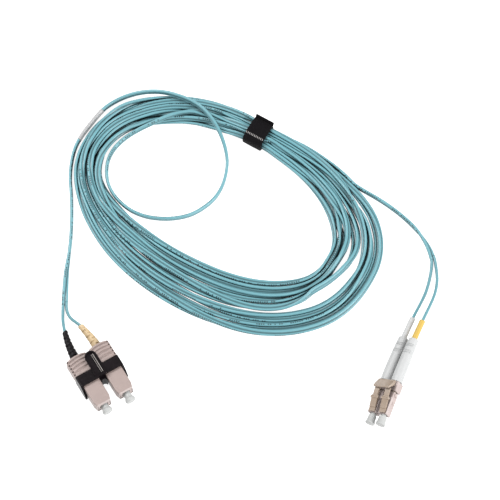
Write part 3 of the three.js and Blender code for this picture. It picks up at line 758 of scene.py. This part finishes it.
def turned(profile, x, z, sides=40, shift=None, radius=None):
    """Turns (radius, y) points about a line along y; a profile that comes back to its start makes a tube."""
    angles = np.arange(sides) / sides * 2 * math.pi
    closed = np.allclose(profile[0], profile[-1])
    rings = []
    for r, y in profile[: -1 if closed else None]:
        reach = r if radius is None else np.array([radius(r, y, a) for a in angles])
        move = shift(y) if shift else 0.0
        across, up = x + move + reach * np.cos(angles), z + reach * np.sin(angles)
        rings.append(np.stack([across, np.full(sides, y), up], 1))
    return loft(rings, closed)


def dense_tube(profile, corner, step, steps=3):
    """A closed profile with soft corners, and with points close enough together to be dented."""
    corners = soften(profile, corner, steps)
    result = [corners[0]]
    for point in corners[1:]:
        start = result[-1]
        pieces = max(1, int(np.ceil(np.linalg.norm(point - start) / step)))
        result += [start + (point - start) * k / pieces for k in range(1, pieces + 1)]
    result[-1] = result[0]
    return result


def degrees_apart(angle, centre):
    return abs((math.degrees(angle) - centre + 180) % 360 - 180)


def smooth_step(value, low, high):
    t = np.clip((value - low) / (high - low), 0, 1)
    return t * t * (3 - 2 * t)


def bake(obj):
    graph = bpy.context.evaluated_depsgraph_get()
    mesh = bpy.data.meshes.new_from_object(obj.evaluated_get(graph))
    bpy.data.objects.remove(obj)
    return mesh


def mould(shapes, cuts=(), round_edges=0.0, segments=2):
    """Joins shapes, cuts others away, and rounds the edges that are left."""
    body, *others = shapes
    for tools, operation in ((others, "UNION"), (cuts, "DIFFERENCE")):
        for tool in tools:
            change = body.modifiers.new("change", "BOOLEAN")
            change.operation = operation
            change.solver = "EXACT"
            change.object = tool
    if round_edges:
        bevel = body.modifiers.new("round", "BEVEL")
        bevel.width = round_edges
        bevel.segments = segments
        bevel.limit_method = "ANGLE"
        bevel.angle_limit = math.radians(32)
    mesh = bake(body)
    for tool in (*others, *cuts):
        bpy.data.objects.remove(tool)
    return mesh


def smooth_between(mesh, degrees):
    mesh.polygons.foreach_set("use_smooth", [True] * len(mesh.polygons))
    mesh.set_sharp_from_angle(angle=math.radians(degrees))


def settle(mesh, name, look, body, nodes=()):
    """Puts a shape of the pair that its name starts with in the frame, on its body, for its CAD nodes."""
    mesh.transform(PLACES[name[:2]])
    smooth_between(mesh, 38)
    # flat faces keep flat normals, and only the narrow rounds between them curve
    plain = link(name, mesh)
    plain.modifiers.new("weigh", "WEIGHTED_NORMAL").keep_sharp = True
    mesh = bake(plain)
    mesh.name = name
    mesh.materials.clear()
    mesh.materials.append(LOOKS[look])
    obj = link(name, mesh)
    if body:
        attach(obj, body)
    if nodes:
        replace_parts(obj, *nodes)
    return obj


def pair_place(kind, height):
    """The matrix from a connector pair's millimetres (x across, y backwards, z up) to the frame's metres."""
    mounts = {m["name"]: m for m in frame["record"]["mounts"]}
    first, second = mounts[f"{kind}_front_a"], mounts[f"{kind}_front_b"]
    a, b = Vector(first["pos_m"]), Vector(second["pos_m"])
    across = (b - a).normalized()
    back = -Vector(first["axis"]).normalized()
    up = across.cross(back)
    matrix = Matrix((across, back, up)).transposed().to_4x4()
    matrix.translation = (a + b) / 2 - up * height * MM
    return matrix @ Matrix.Scale(MM, 4)


PLACES = {"sc": pair_place("sc", 8.3), "lc": pair_place("lc", 0.7)}
PITCH = {"sc": 12.7, "lc": 6.25}
AXIS = {"sc": 5.0, "lc": 2.65}
SIDES = {"a": -1, "b": 1}
SC_MOUTH, LC_MOUTH = 28.4, 18.6
# each boot's end, and how far it bends sideways by then
SC_BOOT_END = {"a": 44.9, "b": 43.7}
LC_BOOT_END = 43.5
BENDS = {
    ("sc", "a"): (SC_MOUTH, SC_BOOT_END["a"], 2.6), ("sc", "b"): (SC_MOUTH, SC_BOOT_END["b"], -1.7),
    ("lc", "a"): (LC_MOUTH, LC_BOOT_END, 0.8), ("lc", "b"): (LC_MOUTH, LC_BOOT_END, 0.8),
}
LC_SLEEVES = {"a": 11.4, "b": 10.6}


def bend(kind, name, y):
    mouth, end, most = BENDS[kind, name]
    share = max(0.0, y - mouth) / (end - mouth)
    return most * share * share


def middle_x(kind, name):
    return SIDES[name] * PITCH[kind] / 2


def turned_part(kind, name, piece, node, look, body, profile, sides=40, bent=False, radius=None):
    """A part turned about one connector's axis, which may bend as its boot does."""
    shift = (lambda y: bend(kind, name, y)) if bent else None
    mesh = bake(turned(profile, middle_x(kind, name), AXIS[kind], sides, shift, radius))
    settle(mesh, f"{kind}_{piece}_{name}", look, body, [f"{kind}_{node}_{name}"])


def add_spring(kind, name, radius, wire, start, end):
    """A spring from a ferrule's flange to the body behind it."""
    x, z, turns = middle_x(kind, name), AXIS[kind], 5
    t = np.linspace(0, 1, turns * 22 + 1)
    angle = t * turns * 2 * math.pi
    # the end turns lie close together, as ground springs do
    y = start + wire / 2 + (end - start - wire) * (t - 0.09 * np.sin(2 * math.pi * t))
    middle = np.stack([x + radius * np.cos(angle), y, z + radius * np.sin(angle)], 1)
    tangent = unit(np.gradient(middle, axis=0))
    outward = np.stack([np.cos(angle), np.zeros_like(t), np.sin(angle)], 1)
    across = np.cross(tangent, outward)
    girth = (np.arange(10) / 10 * 2 * math.pi)[None, :, None]
    rings = middle[:, None] + wire / 2 * (np.cos(girth) * outward[:, None] + np.sin(girth) * across[:, None])
    nodes = [f"{kind}_spring_{name}"]
    spring = settle(bake(loft(rings)), f"{kind}_coil_spring_{name}", "spring_steel", None, nodes)
    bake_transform(spring)


# ---- SC duplex pair ----

SC_RIB_STEP = 1.9


def rounded_ring(half_width, half_height, corner, y, straight=8, arc=4):
    """A rounded rectangle about the origin, across and up, with points along its straights too."""
    quarter = math.pi / 2
    arcs = []
    for k, (sx, sz) in enumerate(((1, 1), (-1, 1), (-1, -1), (1, -1))):
        middle = np.array([sx * (half_width - corner), sz * (half_height - corner)])
        turn = k * quarter + np.linspace(0, quarter, arc + 1)
        arcs.append(middle + corner * np.stack([np.cos(turn), np.sin(turn)], 1))
    ring = []
    for here, ahead in zip(arcs, arcs[1:] + arcs[:1]):
        ring += [*here, *(here[-1] + (ahead[0] - here[-1]) * k / straight for k in range(1, straight))]
    ring = np.array(ring)
    return np.stack([ring[:, 0], np.full(len(ring), y), ring[:, 1]], 1)


def sc_housing(name):
    """One open-ended shell: chamfered nose, plain body, and a ribbed grip whose rear edge bulges."""
    x = middle_x("sc", name)
    middle = np.array([x, 0, AXIS["sc"]])
    grip_start, grip_end, bulge = 19.4, 28.1, 1.05
    # half width, half height, corner radius and y of each ring
    plan = [
        (3.50, 2.78, 0.3, 0.15), (3.56, 2.86, 0.35, 0.0), (3.63, 2.95, 0.45, 0.0), (3.7, 3.04, 0.5, 0.06),
        (3.86, 3.62, 0.5, 0.68), (3.92, 3.7, 0.5, 0.84), (4.46, 3.7, 0.5, 2.8), (4.5, 3.7, 0.5, 3.0),
        (4.50, 3.70, 0.6, 18.7), (4.6, 3.76, 0.6, 18.95),
        (5.35, 4.15, 0.8, 19.1), (5.62, 4.26, 0.95, 19.22),
    ]
    plan += [(5.7, 4.3, 1.0, y) for y in np.linspace(grip_start, grip_end, 74)]
    plan += [
        (5.62, 4.22, 1.0, 28.28), (5.4, 4.02, 1.0, 28.4), (4.4, 3.85, 2.6, 28.42), (3.62, 3.62, 3.6, 28.42),
        (3.56, 3.56, 3.55, 28.2), (3.56, 3.56, 3.55, 18.2), (3.68, 2.88, 0.3, 17.9), (3.68, 2.88, 0.3, 0.7),
    ]
    rings = []
    for half_width, half_height, corner, y in plan:
        ring = rounded_ring(half_width, half_height, corner, y)
        if grip_start <= y <= 28.45 and half_width > 3.6:
            inside = smooth_step(np.abs(ring[:, 0]), 4.95, 4.55)
            depth = sum(smooth_step(abs(y - 21.35 - SC_RIB_STEP * k), 0.66, 0.2) * 0.66 for k in range(4))
            ring[:, 2] -= np.sign(ring[:, 2]) * depth * inside * (np.abs(ring[:, 2]) > 3.2)
            curve = bulge * (1 - (ring[:, 0] / 5.7) ** 2)
            ring[:, 1] += curve * smooth_step(y, grip_start - 0.6, 24.0)
        elif half_width in (3.62, 3.56) and y > 28:
            ring[:, 1] += bulge * 0.75
        rings.append(ring + middle)
    dots = []
    for k in range(5):
        dot_x, dot_y, dot = x + SIDES[name] * 5.12, 20.4 + SC_RIB_STEP * k, 0.46
        angles = np.arange(10) / 10 * 2 * math.pi
        dots.append(prism([(dot_x + dot * math.cos(a), dot_y + dot * math.sin(a)) for a in angles], 7.9, 9.8))
    shell = mould([loft(rings, closed=True)], dots)
    settle(shell, f"sc_shell_{name}", "connector_beige", SHELLS, [f"sc_housing_{name}"])
    key = prism([(3.2, 1.35), (3.6, 0.75), (12.0, 0.75), (12.2, 1.35)], x - 1.1, x + 1.1, "yz")
    settle(mould([key], (), 0.15), f"sc_key_rib_{name}", "connector_beige", SHELLS)
    # a thin paler shell over the nose's rounded lip: a painted highlight
    lip = [
        (3.56, 2.88, 0.35, 0.05), (3.58, 2.90, 0.4, -0.03), (3.65, 2.97, 0.45, -0.03),
        (3.73, 3.07, 0.5, 0.03), (3.9, 3.66, 0.5, 0.64), (3.84, 3.58, 0.5, 0.7),
    ]
    edge = bake(loft([rounded_ring(*size) + middle for size in lip], closed=True))
    settle(edge, f"sc_nose_edge_{name}", "lc_beige", SHELLS)


def sc_clip():
    """Black clip: a band round both housings, a hollow-topped spine, a nose between them and two arms."""
    front, back, side, top = 12.9, 18.9, 12.2, 10.0
    outline = soften([(-side, 0.0), (side, 0.0), (side, top), (-side, top)], 0.9, closed=True)
    band = prism(outline, front, back, "xz")
    half, inner, crown, rear = 3.15, 2.3, 11.2, 27.4

    def tongue(reach, start, low, high, points):
        """A strip with a round rear end."""
        angles = np.linspace(0, math.pi, points)
        bow = [(reach * math.cos(a), rear - half + reach * math.sin(a)) for a in angles]
        return prism([(-reach, start), (reach, start), *bow], low, high)

    spine = tongue(half, front + 0.02, top - 0.5, crown, 15)
    hollow = tongue(inner, front + 1.0, crown - 0.75, crown + 1, 13)
    nose = prism(
        [
            (-1.52, 10.7), (-0.8, 11.4), (0.0, 11.5), (0.8, 11.1), (1.52, 10.1), (1.52, front + 1),
            (-1.52, front + 1),
        ],
        1.0, 8.2,
    )
    arm = soften([(8.3, 2.2), (9.3, 0.9), (13.4, 0.7), (13.4, 9.2), (10.6, 6.6)], 0.9, closed=True)
    arms, windows = [], []
    for x in (middle_x("sc", "a"), middle_x("sc", "b")):
        windows.append(block((x - 4.8, front - 1, 1.0), (x + 4.8, back + 1, 9.0)))
        arms.append(flank(arm, 0, np.sign(x), side - 1.1, side))
    mesh = mould([band, spine, nose, *arms], [*windows, hollow], 0.22, 3)
    settle(mesh, "sc_clip", "clip_black", SHELLS, ["sc_duplex_clip"])
    # two thin ridges stand in the hollow of the spine, coloured pale as a painted highlight
    places = ((0.5, 0.2), (1.3, 0.34))
    ridges = [block((x, 14.4, crown - 0.9), (x + wide, 25.2, crown - 0.15)) for x, wide in places]
    settle(mould(ridges, (), 0.08), "sc_clip_ridges", "clip_ridges", SHELLS)


def sc_boot(name, look, wide, reach):
    """A tapered boot whose segments are cut from alternate sides so that it flexes."""
    end = SC_BOOT_END[name]
    profile = [
        (2.95, 22.6), (3.35, 22.6), (3.35, 27.2), (2.6, SC_MOUTH), (2.45, SC_MOUTH + 1.0), (1.5, end - 0.2),
        (1.4, end), (1.15, end), (1.15, 27.2), (2.95, 26.4), (2.95, 22.6),
    ]
    slots = np.linspace(SC_MOUTH + 2.0, end - 1.9, 7)

    def radius(r, y, angle):
        if r < 1.3 or y < SC_MOUTH:
            return r
        depth = 0.0
        for index, slot in enumerate(slots):
            for centre in ((45, 225), (135, 315))[index % 2]:
                cut = smooth_step(degrees_apart(angle, centre), reach, reach - 12)
                depth = max(depth, float(cut * smooth_step(abs(y - slot), wide + 0.16, wide - 0.06)))
        return r - min(0.52, r - 1.22) * depth

    profile = dense_tube(profile, 0.12, 0.2, 2)
    turned_part("sc", name, "strain_relief", "boot", look, ROOT, profile, 56, True, radius)


def sc_inside(name):
    x, z = middle_x("sc", name), AXIS["sc"]
    plug = block((x - 3.4, 0.15, z - 2.6), (x + 3.4, 17, z + 2.6))
    bore = turned([(0, 0.0), (2.2, 0.0), (2.2, 18), (0, 18)], x, z)
    slots = [block((x + out - 0.5, 3.5, z - 1.0), (x + out + 0.5, 9.0, z + 1.0)) for out in (-3.4, 3.4)]
    plug = mould([plug], [bore, *slots], 0.25, 3)
    settle(plug, f"sc_inner_frame_{name}", "lc_beige", ROOT, [f"sc_plug_frame_{name}"])
    ferrule = [
        (0, 0.3), (1.05, 0.3), (1.25, 0.8), (1.25, 7.8), (1.9, 7.8), (1.9, 9.8), (1.1, 9.8), (1.1, 13.6),
        (0, 13.6),
    ]
    body = f"sc_ferrule_{name}_set"
    turned_part("sc", name, "ceramic", "ferrule", "ferrule_ceramic", body, soften(ferrule, 0.08))
    add_spring("sc", name, 1.65, 0.36, 10.1, 16.4)
    backbone = [
        (1.2, 16.8), (1.9, 16.8), (1.9, 17.5), (3.2, 17.5), (3.2, 21.5), (1.9, 21.5), (1.9, 25.6),
        (1.2, 25.6), (1.2, 16.8),
    ]
    turned_part("sc", name, "rear_frame", "backbone", "connector_beige", ROOT, soften(backbone, 0.08))

    def pressed(r, y, angle):
        return r - (0.12 if r > 2.5 and 22.6 < y < 25.5 else 0.0) * (0.5 + 0.5 * math.cos(6 * angle))

    crimp = dense_tube([(2.2, 21.9), (2.6, 21.9), (2.6, 26.2), (2.2, 26.2), (2.2, 21.9)], 0.1, 0.3)
    turned_part("sc", name, "crimp_ring", "crimp_sleeve", "crimp_metal", ROOT, crimp, 48, radius=pressed)


def sc_cap(name, knob):
    """A dust cap whose knob starts at a given y."""
    profile = [
        (0, knob), (1.9, knob + 0.05), (2.55, knob + 0.4), (2.72, knob + 1.1), (2.55, knob + 1.9),
        (2.1, knob + 2.5), (1.95, knob + 3.0), (1.9, 0.2), (1.9, 6), (1.55, 6), (1.5, -0.6), (0, -0.7),
    ]
    turned_part("sc", name, "cap_cover", "dust_cap", "cap_clear", f"sc_cap_{name}", soften(profile, 0.3), 44)


# each boot's look, its slots' half width in mm and their half reach in degrees
SC_BOOTS = {"a": ("boot_black", 0.42, 68), "b": ("boot_cream", 0.34, 52)}
# the first cap is pushed further in
SC_KNOBS = {"a": -4.25, "b": -5.1}

sc_clip()
for side in SIDES:
    sc_housing(side)
    sc_inside(side)
    sc_boot(side, *SC_BOOTS[side])
    sc_cap(side, SC_KNOBS[side])

# ---- LC duplex pair ----


def lc_housing(name):
    x, hand = middle_x("lc", name), SIDES[name]
    body = block((x - 2.25, 0, 0.4), (x + 2.25, 12.6, 4.9))
    nub = soften([(10.4, 1.2), (12.2, 1.2), (12.2, 3.4), (10.9, 3.4)], 0.3, closed=True)
    bore = turned([(0, -1), (1.65, -1), (1.65, 14), (0, 14)], x, AXIS["lc"])
    seat = block((x - 2.0, -1, 4.5), (x + 2.0, 3.6, 6))
    lip = block((x - 3, 9.4, 4.55), (x + 3, 13, 6))
    mark = flank([(6.2, 2.1), (7.6, 2.75), (6.2, 3.4)], x, hand, 2.1, 2.6)
    mesh = mould([body, flank(nub, x, hand, 2.1, 2.7)], [bore, seat, lip, mark], 0.13, 2)
    settle(mesh, f"lc_shell_{name}", "lc_beige", ROOT, [f"lc_housing_{name}"])


def lc_latch(name):
    """A springy arm rooted at the nose; two ears catch the socket, and its tail runs under the trigger."""
    x = middle_x("lc", name)
    arm = [
        (0.4, 4.85), (2, 4.85), (8.2, 6.35), (13, 6.95), (13, 7.85), (7.8, 7.25), (2.4, 5.98), (2.3, 5.62),
        (0.4, 5.4),
    ]
    ears = [(6.95, 6.2), (8.1, 6.3), (8.1, 7.5), (6.95, 7.3)]
    step = [(7.5, 7.0), (8.3, 7.1), (8.3, 7.72), (7.9, 7.66)]
    outlines = ((arm, 1.7), (ears, 2.2), (step, 1.45))
    parts = [prism(outline, x - half, x + half, "yz") for outline, half in outlines]
    tapers = [block((low, 8.7, 5.5), (low + 1.68, 14, 9)) for low in (x - 3, x + 1.32)]
    mesh = mould(parts, tapers, 0.12, 2)
    settle(mesh, f"lc_latch_spring_{name}", "latch_tan", f"lc_latch_arm_{name}", [f"lc_latch_{name}"])


def lc_trigger():
    """A wide plate hinged on the clip, leaning forwards over both latch tails, with a cheek at each end."""
    plate = [(18.1, 5.62), (18.1, 6.45), (17.2, 6.9), (12.6, 9.8), (12.1, 9.2), (16.4, 5.75)]
    plate = prism(soften(plate, 0.16, 2, closed=True), -4.8, 4.8, "yz")
    cheek = [(17.9, 5.6), (17.4, 6.9), (13.4, 9.3), (13.2, 8.3), (15.8, 5.7)]
    cheeks = [flank(cheek, 0, hand, 4.5, 4.8) for hand in (-1, 1)]
    taper = ((4.25, 11), (6, 11), (6, 15), (4.8, 14.6))
    tapers = [prism([(hand * x, y) for x, y in taper], 5, 12) for hand in (-1, 1)]
    mesh = mould([plate, *cheeks], tapers, 0.16, 3)
    settle(mesh, "lc_trigger_plate", "latch_tan", "lc_trigger_lever", ["lc_trigger"])


def lc_clip():
    """The clip that holds the two bodies side by side."""
    outline = soften([(13.2, 0.0), (18.3, 0.0), (18.3, 5.3), (13.0, 5.3)], 0.2, 2, closed=True)
    shell = prism(outline, -6, 6, "yz")
    bore = [(0, 12), (2.25, 12), (2.25, 19), (0, 19)]
    cuts = [turned(bore, middle_x("lc", name), AXIS["lc"]) for name in SIDES]
    cuts += [block((-0.25, 12, low), (0.25, 19, high)) for low, high in ((-1, 0.7), (4.7, 6))]
    cuts.append(prism([(12, 4.95), (15.6, 4.95), (16.4, 5.6), (12, 5.6)], -7, 7, "yz"))
    settle(mould([shell], cuts, 0.3, 3), "lc_clip", "lc_beige", ROOT, ["lc_duplex_clip"])


def lc_boot(name):
    """A smooth boot with two pairs of shallow arcs near its tail."""
    end = LC_BOOT_END
    profile = [
        (2.2, 18.6), (3.02, 18.6), (2.98, 26.6), (2.78, 35), (2.5, end - 0.1), (2.2, end), (1.15, end),
        (1.15, 24.2), (2.2, 23.4), (2.2, 18.6),
    ]

    def radius(r, y, angle):
        if r < 1.9:
            return r
        depth = 0.0
        for groove, centre in ((3.6, 72), (4.6, 84), (7.4, 72), (8.4, 84)):
            arc = smooth_step(degrees_apart(angle, centre), 58, 46)
            depth += float(arc * smooth_step(abs(y - end + groove), 0.32, 0.14))
        return r - 0.42 * min(1.0, depth)

    profile = dense_tube(profile, 0.14, 0.24, 2)
    turned_part("lc", name, "strain_relief", "boot", "boot_white", ROOT, profile, 64, True, radius)


def lc_sleeve(name, look):
    start = LC_BOOT_END + 0.3
    end = start + LC_SLEEVES[name]
    profile = [(1.1, start), (1.5, start), (1.46, (start + end) / 2), (1.5, end), (1.1, end), (1.1, start)]

    def uneven(r, y, angle):
        return r + (0.012 * math.sin(5.1 * y) * math.cos(2 * angle + y) if r > 1.3 else 0.0)

    profile = dense_tube(profile, 0.15, 0.7)
    turned_part("lc", name, "sleeve", "marker_sleeve", look, ROOT, profile, 36, True, uneven)


def lc_inside(name):
    ferrule = [
        (0, -1.5), (0.5, -1.5), (0.62, -1.2), (0.62, 6.2), (1.2, 6.2), (1.2, 7.7), (0.6, 7.7), (0.6, 10.4),
        (0, 10.4),
    ]
    body = f"lc_ferrule_{name}_set"
    turned_part("lc", name, "ceramic", "ferrule", "ferrule_ceramic", body, soften(ferrule, 0.06), 32)
    add_spring("lc", name, 1.05, 0.26, 8, 12.3)
    rear = [
        (0.9, 12.7), (1.3, 12.7), (1.3, 13.4), (1.95, 13.4), (1.95, 18), (1.3, 18), (1.3, 21.4), (0.9, 21.4),
        (0.9, 12.7),
    ]
    turned_part("lc", name, "crimp_body", "rear_body", "rear_body_metal", ROOT, soften(rear, 0.06), 36)
    crimp = dense_tube([(1.6, 18.5), (1.9, 18.5), (1.9, 22.6), (1.6, 22.6), (1.6, 18.5)], 0.08, 0.4)
    turned_part("lc", name, "crimp_ring", "crimp_sleeve", "crimp_metal", ROOT, crimp, 36)


def lc_cap(name):
    profile = [
        (0, -5.55), (2.3, -5.6), (2.52, -5.3), (2.5, -4.9), (2.26, -4.2), (2.12, -3.2), (2.05, -1.15),
        (1.6, -1.1), (1.58, -0.35), (1.3, -0.3), (1.3, 5.2), (0.93, 5.2), (0.93, -2.4), (0, -2.45),
    ]
    turned_part("lc", name, "cap_cover", "dust_cap", "cap_clear", f"lc_cap_{name}", soften(profile, 0.12))


lc_clip()
lc_trigger()
for side, sleeve in (("a", "sleeve_white"), ("b", "sleeve_yellow")):
    lc_housing(side)
    lc_latch(side)
    lc_inside(side)
    lc_boot(side)
    lc_sleeve(side, sleeve)
    lc_cap(side)

# ---- the legs, from where the zip cord divides into the boots ----

# the free stretch of each leg, given as x, y and the height of its middle
LEG_ROUTES = {
    ("sc", "a"): [(-90.2, 34.9, 1.5), (-89.9, 30.2, 2.7)],
    ("sc", "b"): [(-88.0, 36.2, 1.3), (-86.3, 32.6, 2.3)],
    ("lc", "a"): [(98.1, 60.2, 1.0), (96.8, 53.4, 1.3), (94.5, 45.8, 1.9)],
    ("lc", "b"): [(100.7, 58.0, 1.8), (100.7, 52.4, 2.4), (99.3, 45.2, 3.4)],
}
LEG_INSIDE = {"sc": [0, 4.0, 8.0, 12.0, 15.4], "lc": [0, 6.0, 12.0, 18.0, 24.0]}


def leg_path(kind, name):
    # each leg starts inside the zip cord, as one of its two sides
    index, ahead = (0, 2.0) if kind == "sc" else (-1, -2.0)
    tangent, side, _ = frames(line[:, :3], line[:, 3])
    middle = line[index, :3] - SIDES[name] * LEG_SPACING / 2 * side[index]
    start = [middle + tangent[index] * way for way in (ahead, -0.1 * ahead)]
    end = SC_BOOT_END[name] if kind == "sc" else LC_BOOT_END + 0.3 + LC_SLEEVES[name]
    inside = []
    for y in (end - back for back in LEG_INSIDE[kind]):
        point = Vector((middle_x(kind, name) + bend(kind, name, y), y, AXIS[kind]))
        inside.append(tuple(PLACES[kind] @ point / MM))
    return spline([*start, *LEG_ROUTES[kind, name], *inside], 0.8)


circle = [(0.79 * math.cos(a), 0.79 * math.sin(a)) for a in np.arange(20) / 20 * 2 * math.pi]
for kind, side in LEG_ROUTES:
    leg = leg_path(kind, side)
    add_cord(f"leg_{kind}_{side}", leg, circle, "leg_jacket", [f"cord_{kind}_leg_{side}"])

# ---- label and tie ----

LABEL_ENDS = ((-71.8, 150.7), (-83.9, 133.6))
TIE_WIDTH = 10.5
TIE_THICK = 0.85
TIE_SHIFT = 1.3
STITCH_ANGLE = 132
STITCHES = 11
UP = np.array([0, 0, 1.0])


def add_label():
    first, last = sorted(int(np.argmin(np.linalg.norm(line[:60, :2] - end, axis=1))) for end in LABEL_ENDS)
    stretch = spline(line[first : last + 1], 0.7)
    radius, quarter = LEG_RADIUS + 0.17, math.pi / 2
    section = []
    for half, start in ((LEG_SPACING / 2, -quarter), (-LEG_SPACING / 2, quarter)):
        angles = np.linspace(start, start + math.pi, 13)
        section += [(half + radius * math.cos(a), radius * math.sin(a)) for a in angles]
    grow = 1 + 0.02 * np.exp(-((np.arange(len(stretch)) - len(stretch) * 0.5) ** 2) / 90)
    piece = sweep("label_wrap", stretch[:, :3], section, "label_white", stretch[:, 3], grow)
    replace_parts(piece, "wrap_label")


def tie_loop():
    """The strap's middle line round the bundle, out and up, from its covered end to its free one."""
    half, low, high = 6.3, 0.62, 8.65
    centre, rise, power = (low + high) / 2, (high - low) / 2, 0.66
    start, overlap, fade = 212, 330, 40
    degrees = np.linspace(start, -316, 150)
    turns = np.radians(degrees)
    layer = np.clip((start - degrees - overlap) / fade, 0, 1) * (TIE_THICK + 0.06)
    c, s = np.cos(turns), np.sin(turns)
    out = (half + layer) * np.sign(c) * np.abs(c) ** power
    up = centre + (rise + layer * (s > 0) + layer * (s <= 0) * 0.2) * np.sign(s) * np.abs(s) ** power
    loop = np.stack([out, up], 1)
    # the free end leaves the bundle and stands off it
    flare = loop[-1] + np.array([[0.5, 0.5], [0.8, 1.2], [0.9, 2.0]])
    return np.array(soften([*loop, *flare], 0.5, 2))


outward = coil_outward(TIE_ANGLE)
TIE_OUT, TIE_ALONG = np.array([*outward, 0.0]), np.array([-outward[1], outward[0], 0.0])
TIE_ORIGIN = np.array([*coil_middle(TIE_ANGLE), 0.0]) + TIE_SHIFT * TIE_ALONG


def strap_piece(name, verts, faces, look, uvs=None):
    piece = mesh_piece(name, verts, faces, look, uvs)
    face_outwards(piece.data)
    smooth_between(piece.data, 40)
    return piece


def add_strap(loop, normal):
    half, thick, corner = TIE_WIDTH / 2, TIE_THICK / 2, 0.16
    lower = [
        (-half, -thick + corner), (-half + corner, -thick), (-half / 2, -thick), (0, -thick),
        (half / 2, -thick), (half - corner, -thick), (half, -thick + corner),
    ]
    across, raised = np.array(lower + [(x, -y) for x, y in lower[::-1]]).T
    middle = loop[:, None] + raised[None, :, None] * normal[:, None]
    rings = middle[..., :1] * TIE_OUT + middle[..., 1:] * UP + across[None, :, None] * TIE_ALONG
    verts = (TIE_ORIGIN + rings).reshape(-1, 3) * MM
    verts[:, 2] = np.maximum(verts[:, 2], 0.0001)
    faces, uvs = skin(run_of(loop), [*across, across[0]])
    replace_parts(strap_piece("strap", verts, faces, "tie_black", uvs), "hook_and_loop_tie")


def add_stitches(loop, normal):
    """A sewn seam across the strap, where its two layers meet."""
    angle = np.degrees(np.arctan2(loop[:, 1] - 4.7, loop[:, 0]))
    outer = np.arange(len(loop)) > len(loop) * 0.6
    seam = int(np.argmin(np.where(outer, np.abs(angle - STITCH_ANGLE), 999)))
    lift = -(TIE_OUT * normal[seam, 0] + UP * normal[seam, 1])
    step = loop[seam + 1] - loop[seam]
    lean = TIE_ALONG * 0.22 + unit(TIE_OUT * step[0] + UP * step[1]) * 0.55
    side = unit(np.cross(lean, lift))
    base = TIE_ORIGIN + TIE_OUT * loop[seam, 0] + UP * loop[seam, 1] + lift * (TIE_THICK / 2 + 0.02)
    reach, thread = TIE_WIDTH / 2 - 0.5, 0.17
    verts, faces = [], []
    stitch = quads(2, 6) + [tuple(range(6)), tuple(range(6, 12))]
    for index in range(STITCHES):
        faces += [tuple(len(verts) + corner for corner in face) for face in stitch]
        centre = base + TIE_ALONG * (-reach + 2 * reach * index / (STITCHES - 1))
        for end in (-1, 1):
            for a in np.arange(6) / 6 * 2 * math.pi:
                girth = thread * (math.cos(a) * side + math.sin(a) * lift)
                verts.append((centre + lean * end * 0.9 + girth) * MM)
    strap_piece("strap_stitches", verts, faces, "stitches")


strap = tie_loop()
heading = unit(np.gradient(strap, axis=0))
strap_normal = np.stack([heading[:, 1], -heading[:, 0]], 1)
add_label()
add_strap(strap, strap_normal)
add_stitches(strap, strap_normal)

# ---- light and floor ----

floor = bpy.data.meshes.new("floor")
floor.from_pydata([(-3, -3, 0), (3, -3, 0), (3, 3, 0), (-3, 3, 0)], [], [(0, 1, 2, 3)])
floor_object = link("floor", floor)
floor_object.location.z = -0.00005
pale = Nodes((0.4, 0.4, 0.4), 0.9, Emission_Color=(1, 1, 1, 1), Emission_Strength=0.9)
floor.materials.append(pale.material)

world = bpy.data.worlds.new("studio")
world.use_nodes = True
world.node_tree.nodes["Background"].inputs["Color"].default_value = (1, 1, 1, 1)
world.node_tree.nodes["Background"].inputs["Strength"].default_value = 0.6
scene.world = world

LIT = Vector((0, 0.07, 0))
for name, location, power in (("key", (-0.85, 0.6, 1.35), 28), ("fill", (1.0, -0.55, 0.7), 23)):
    light = bpy.data.lights.new(name, "AREA")
    light.size = 0.8
    light.energy = power
    lamp = link(name, light)
    lamp.location = location
    lamp.rotation_euler = (LIT - Vector(location)).to_track_quat("-Z", "Y").to_euler()
scene.view_settings.view_transform = "Standard"
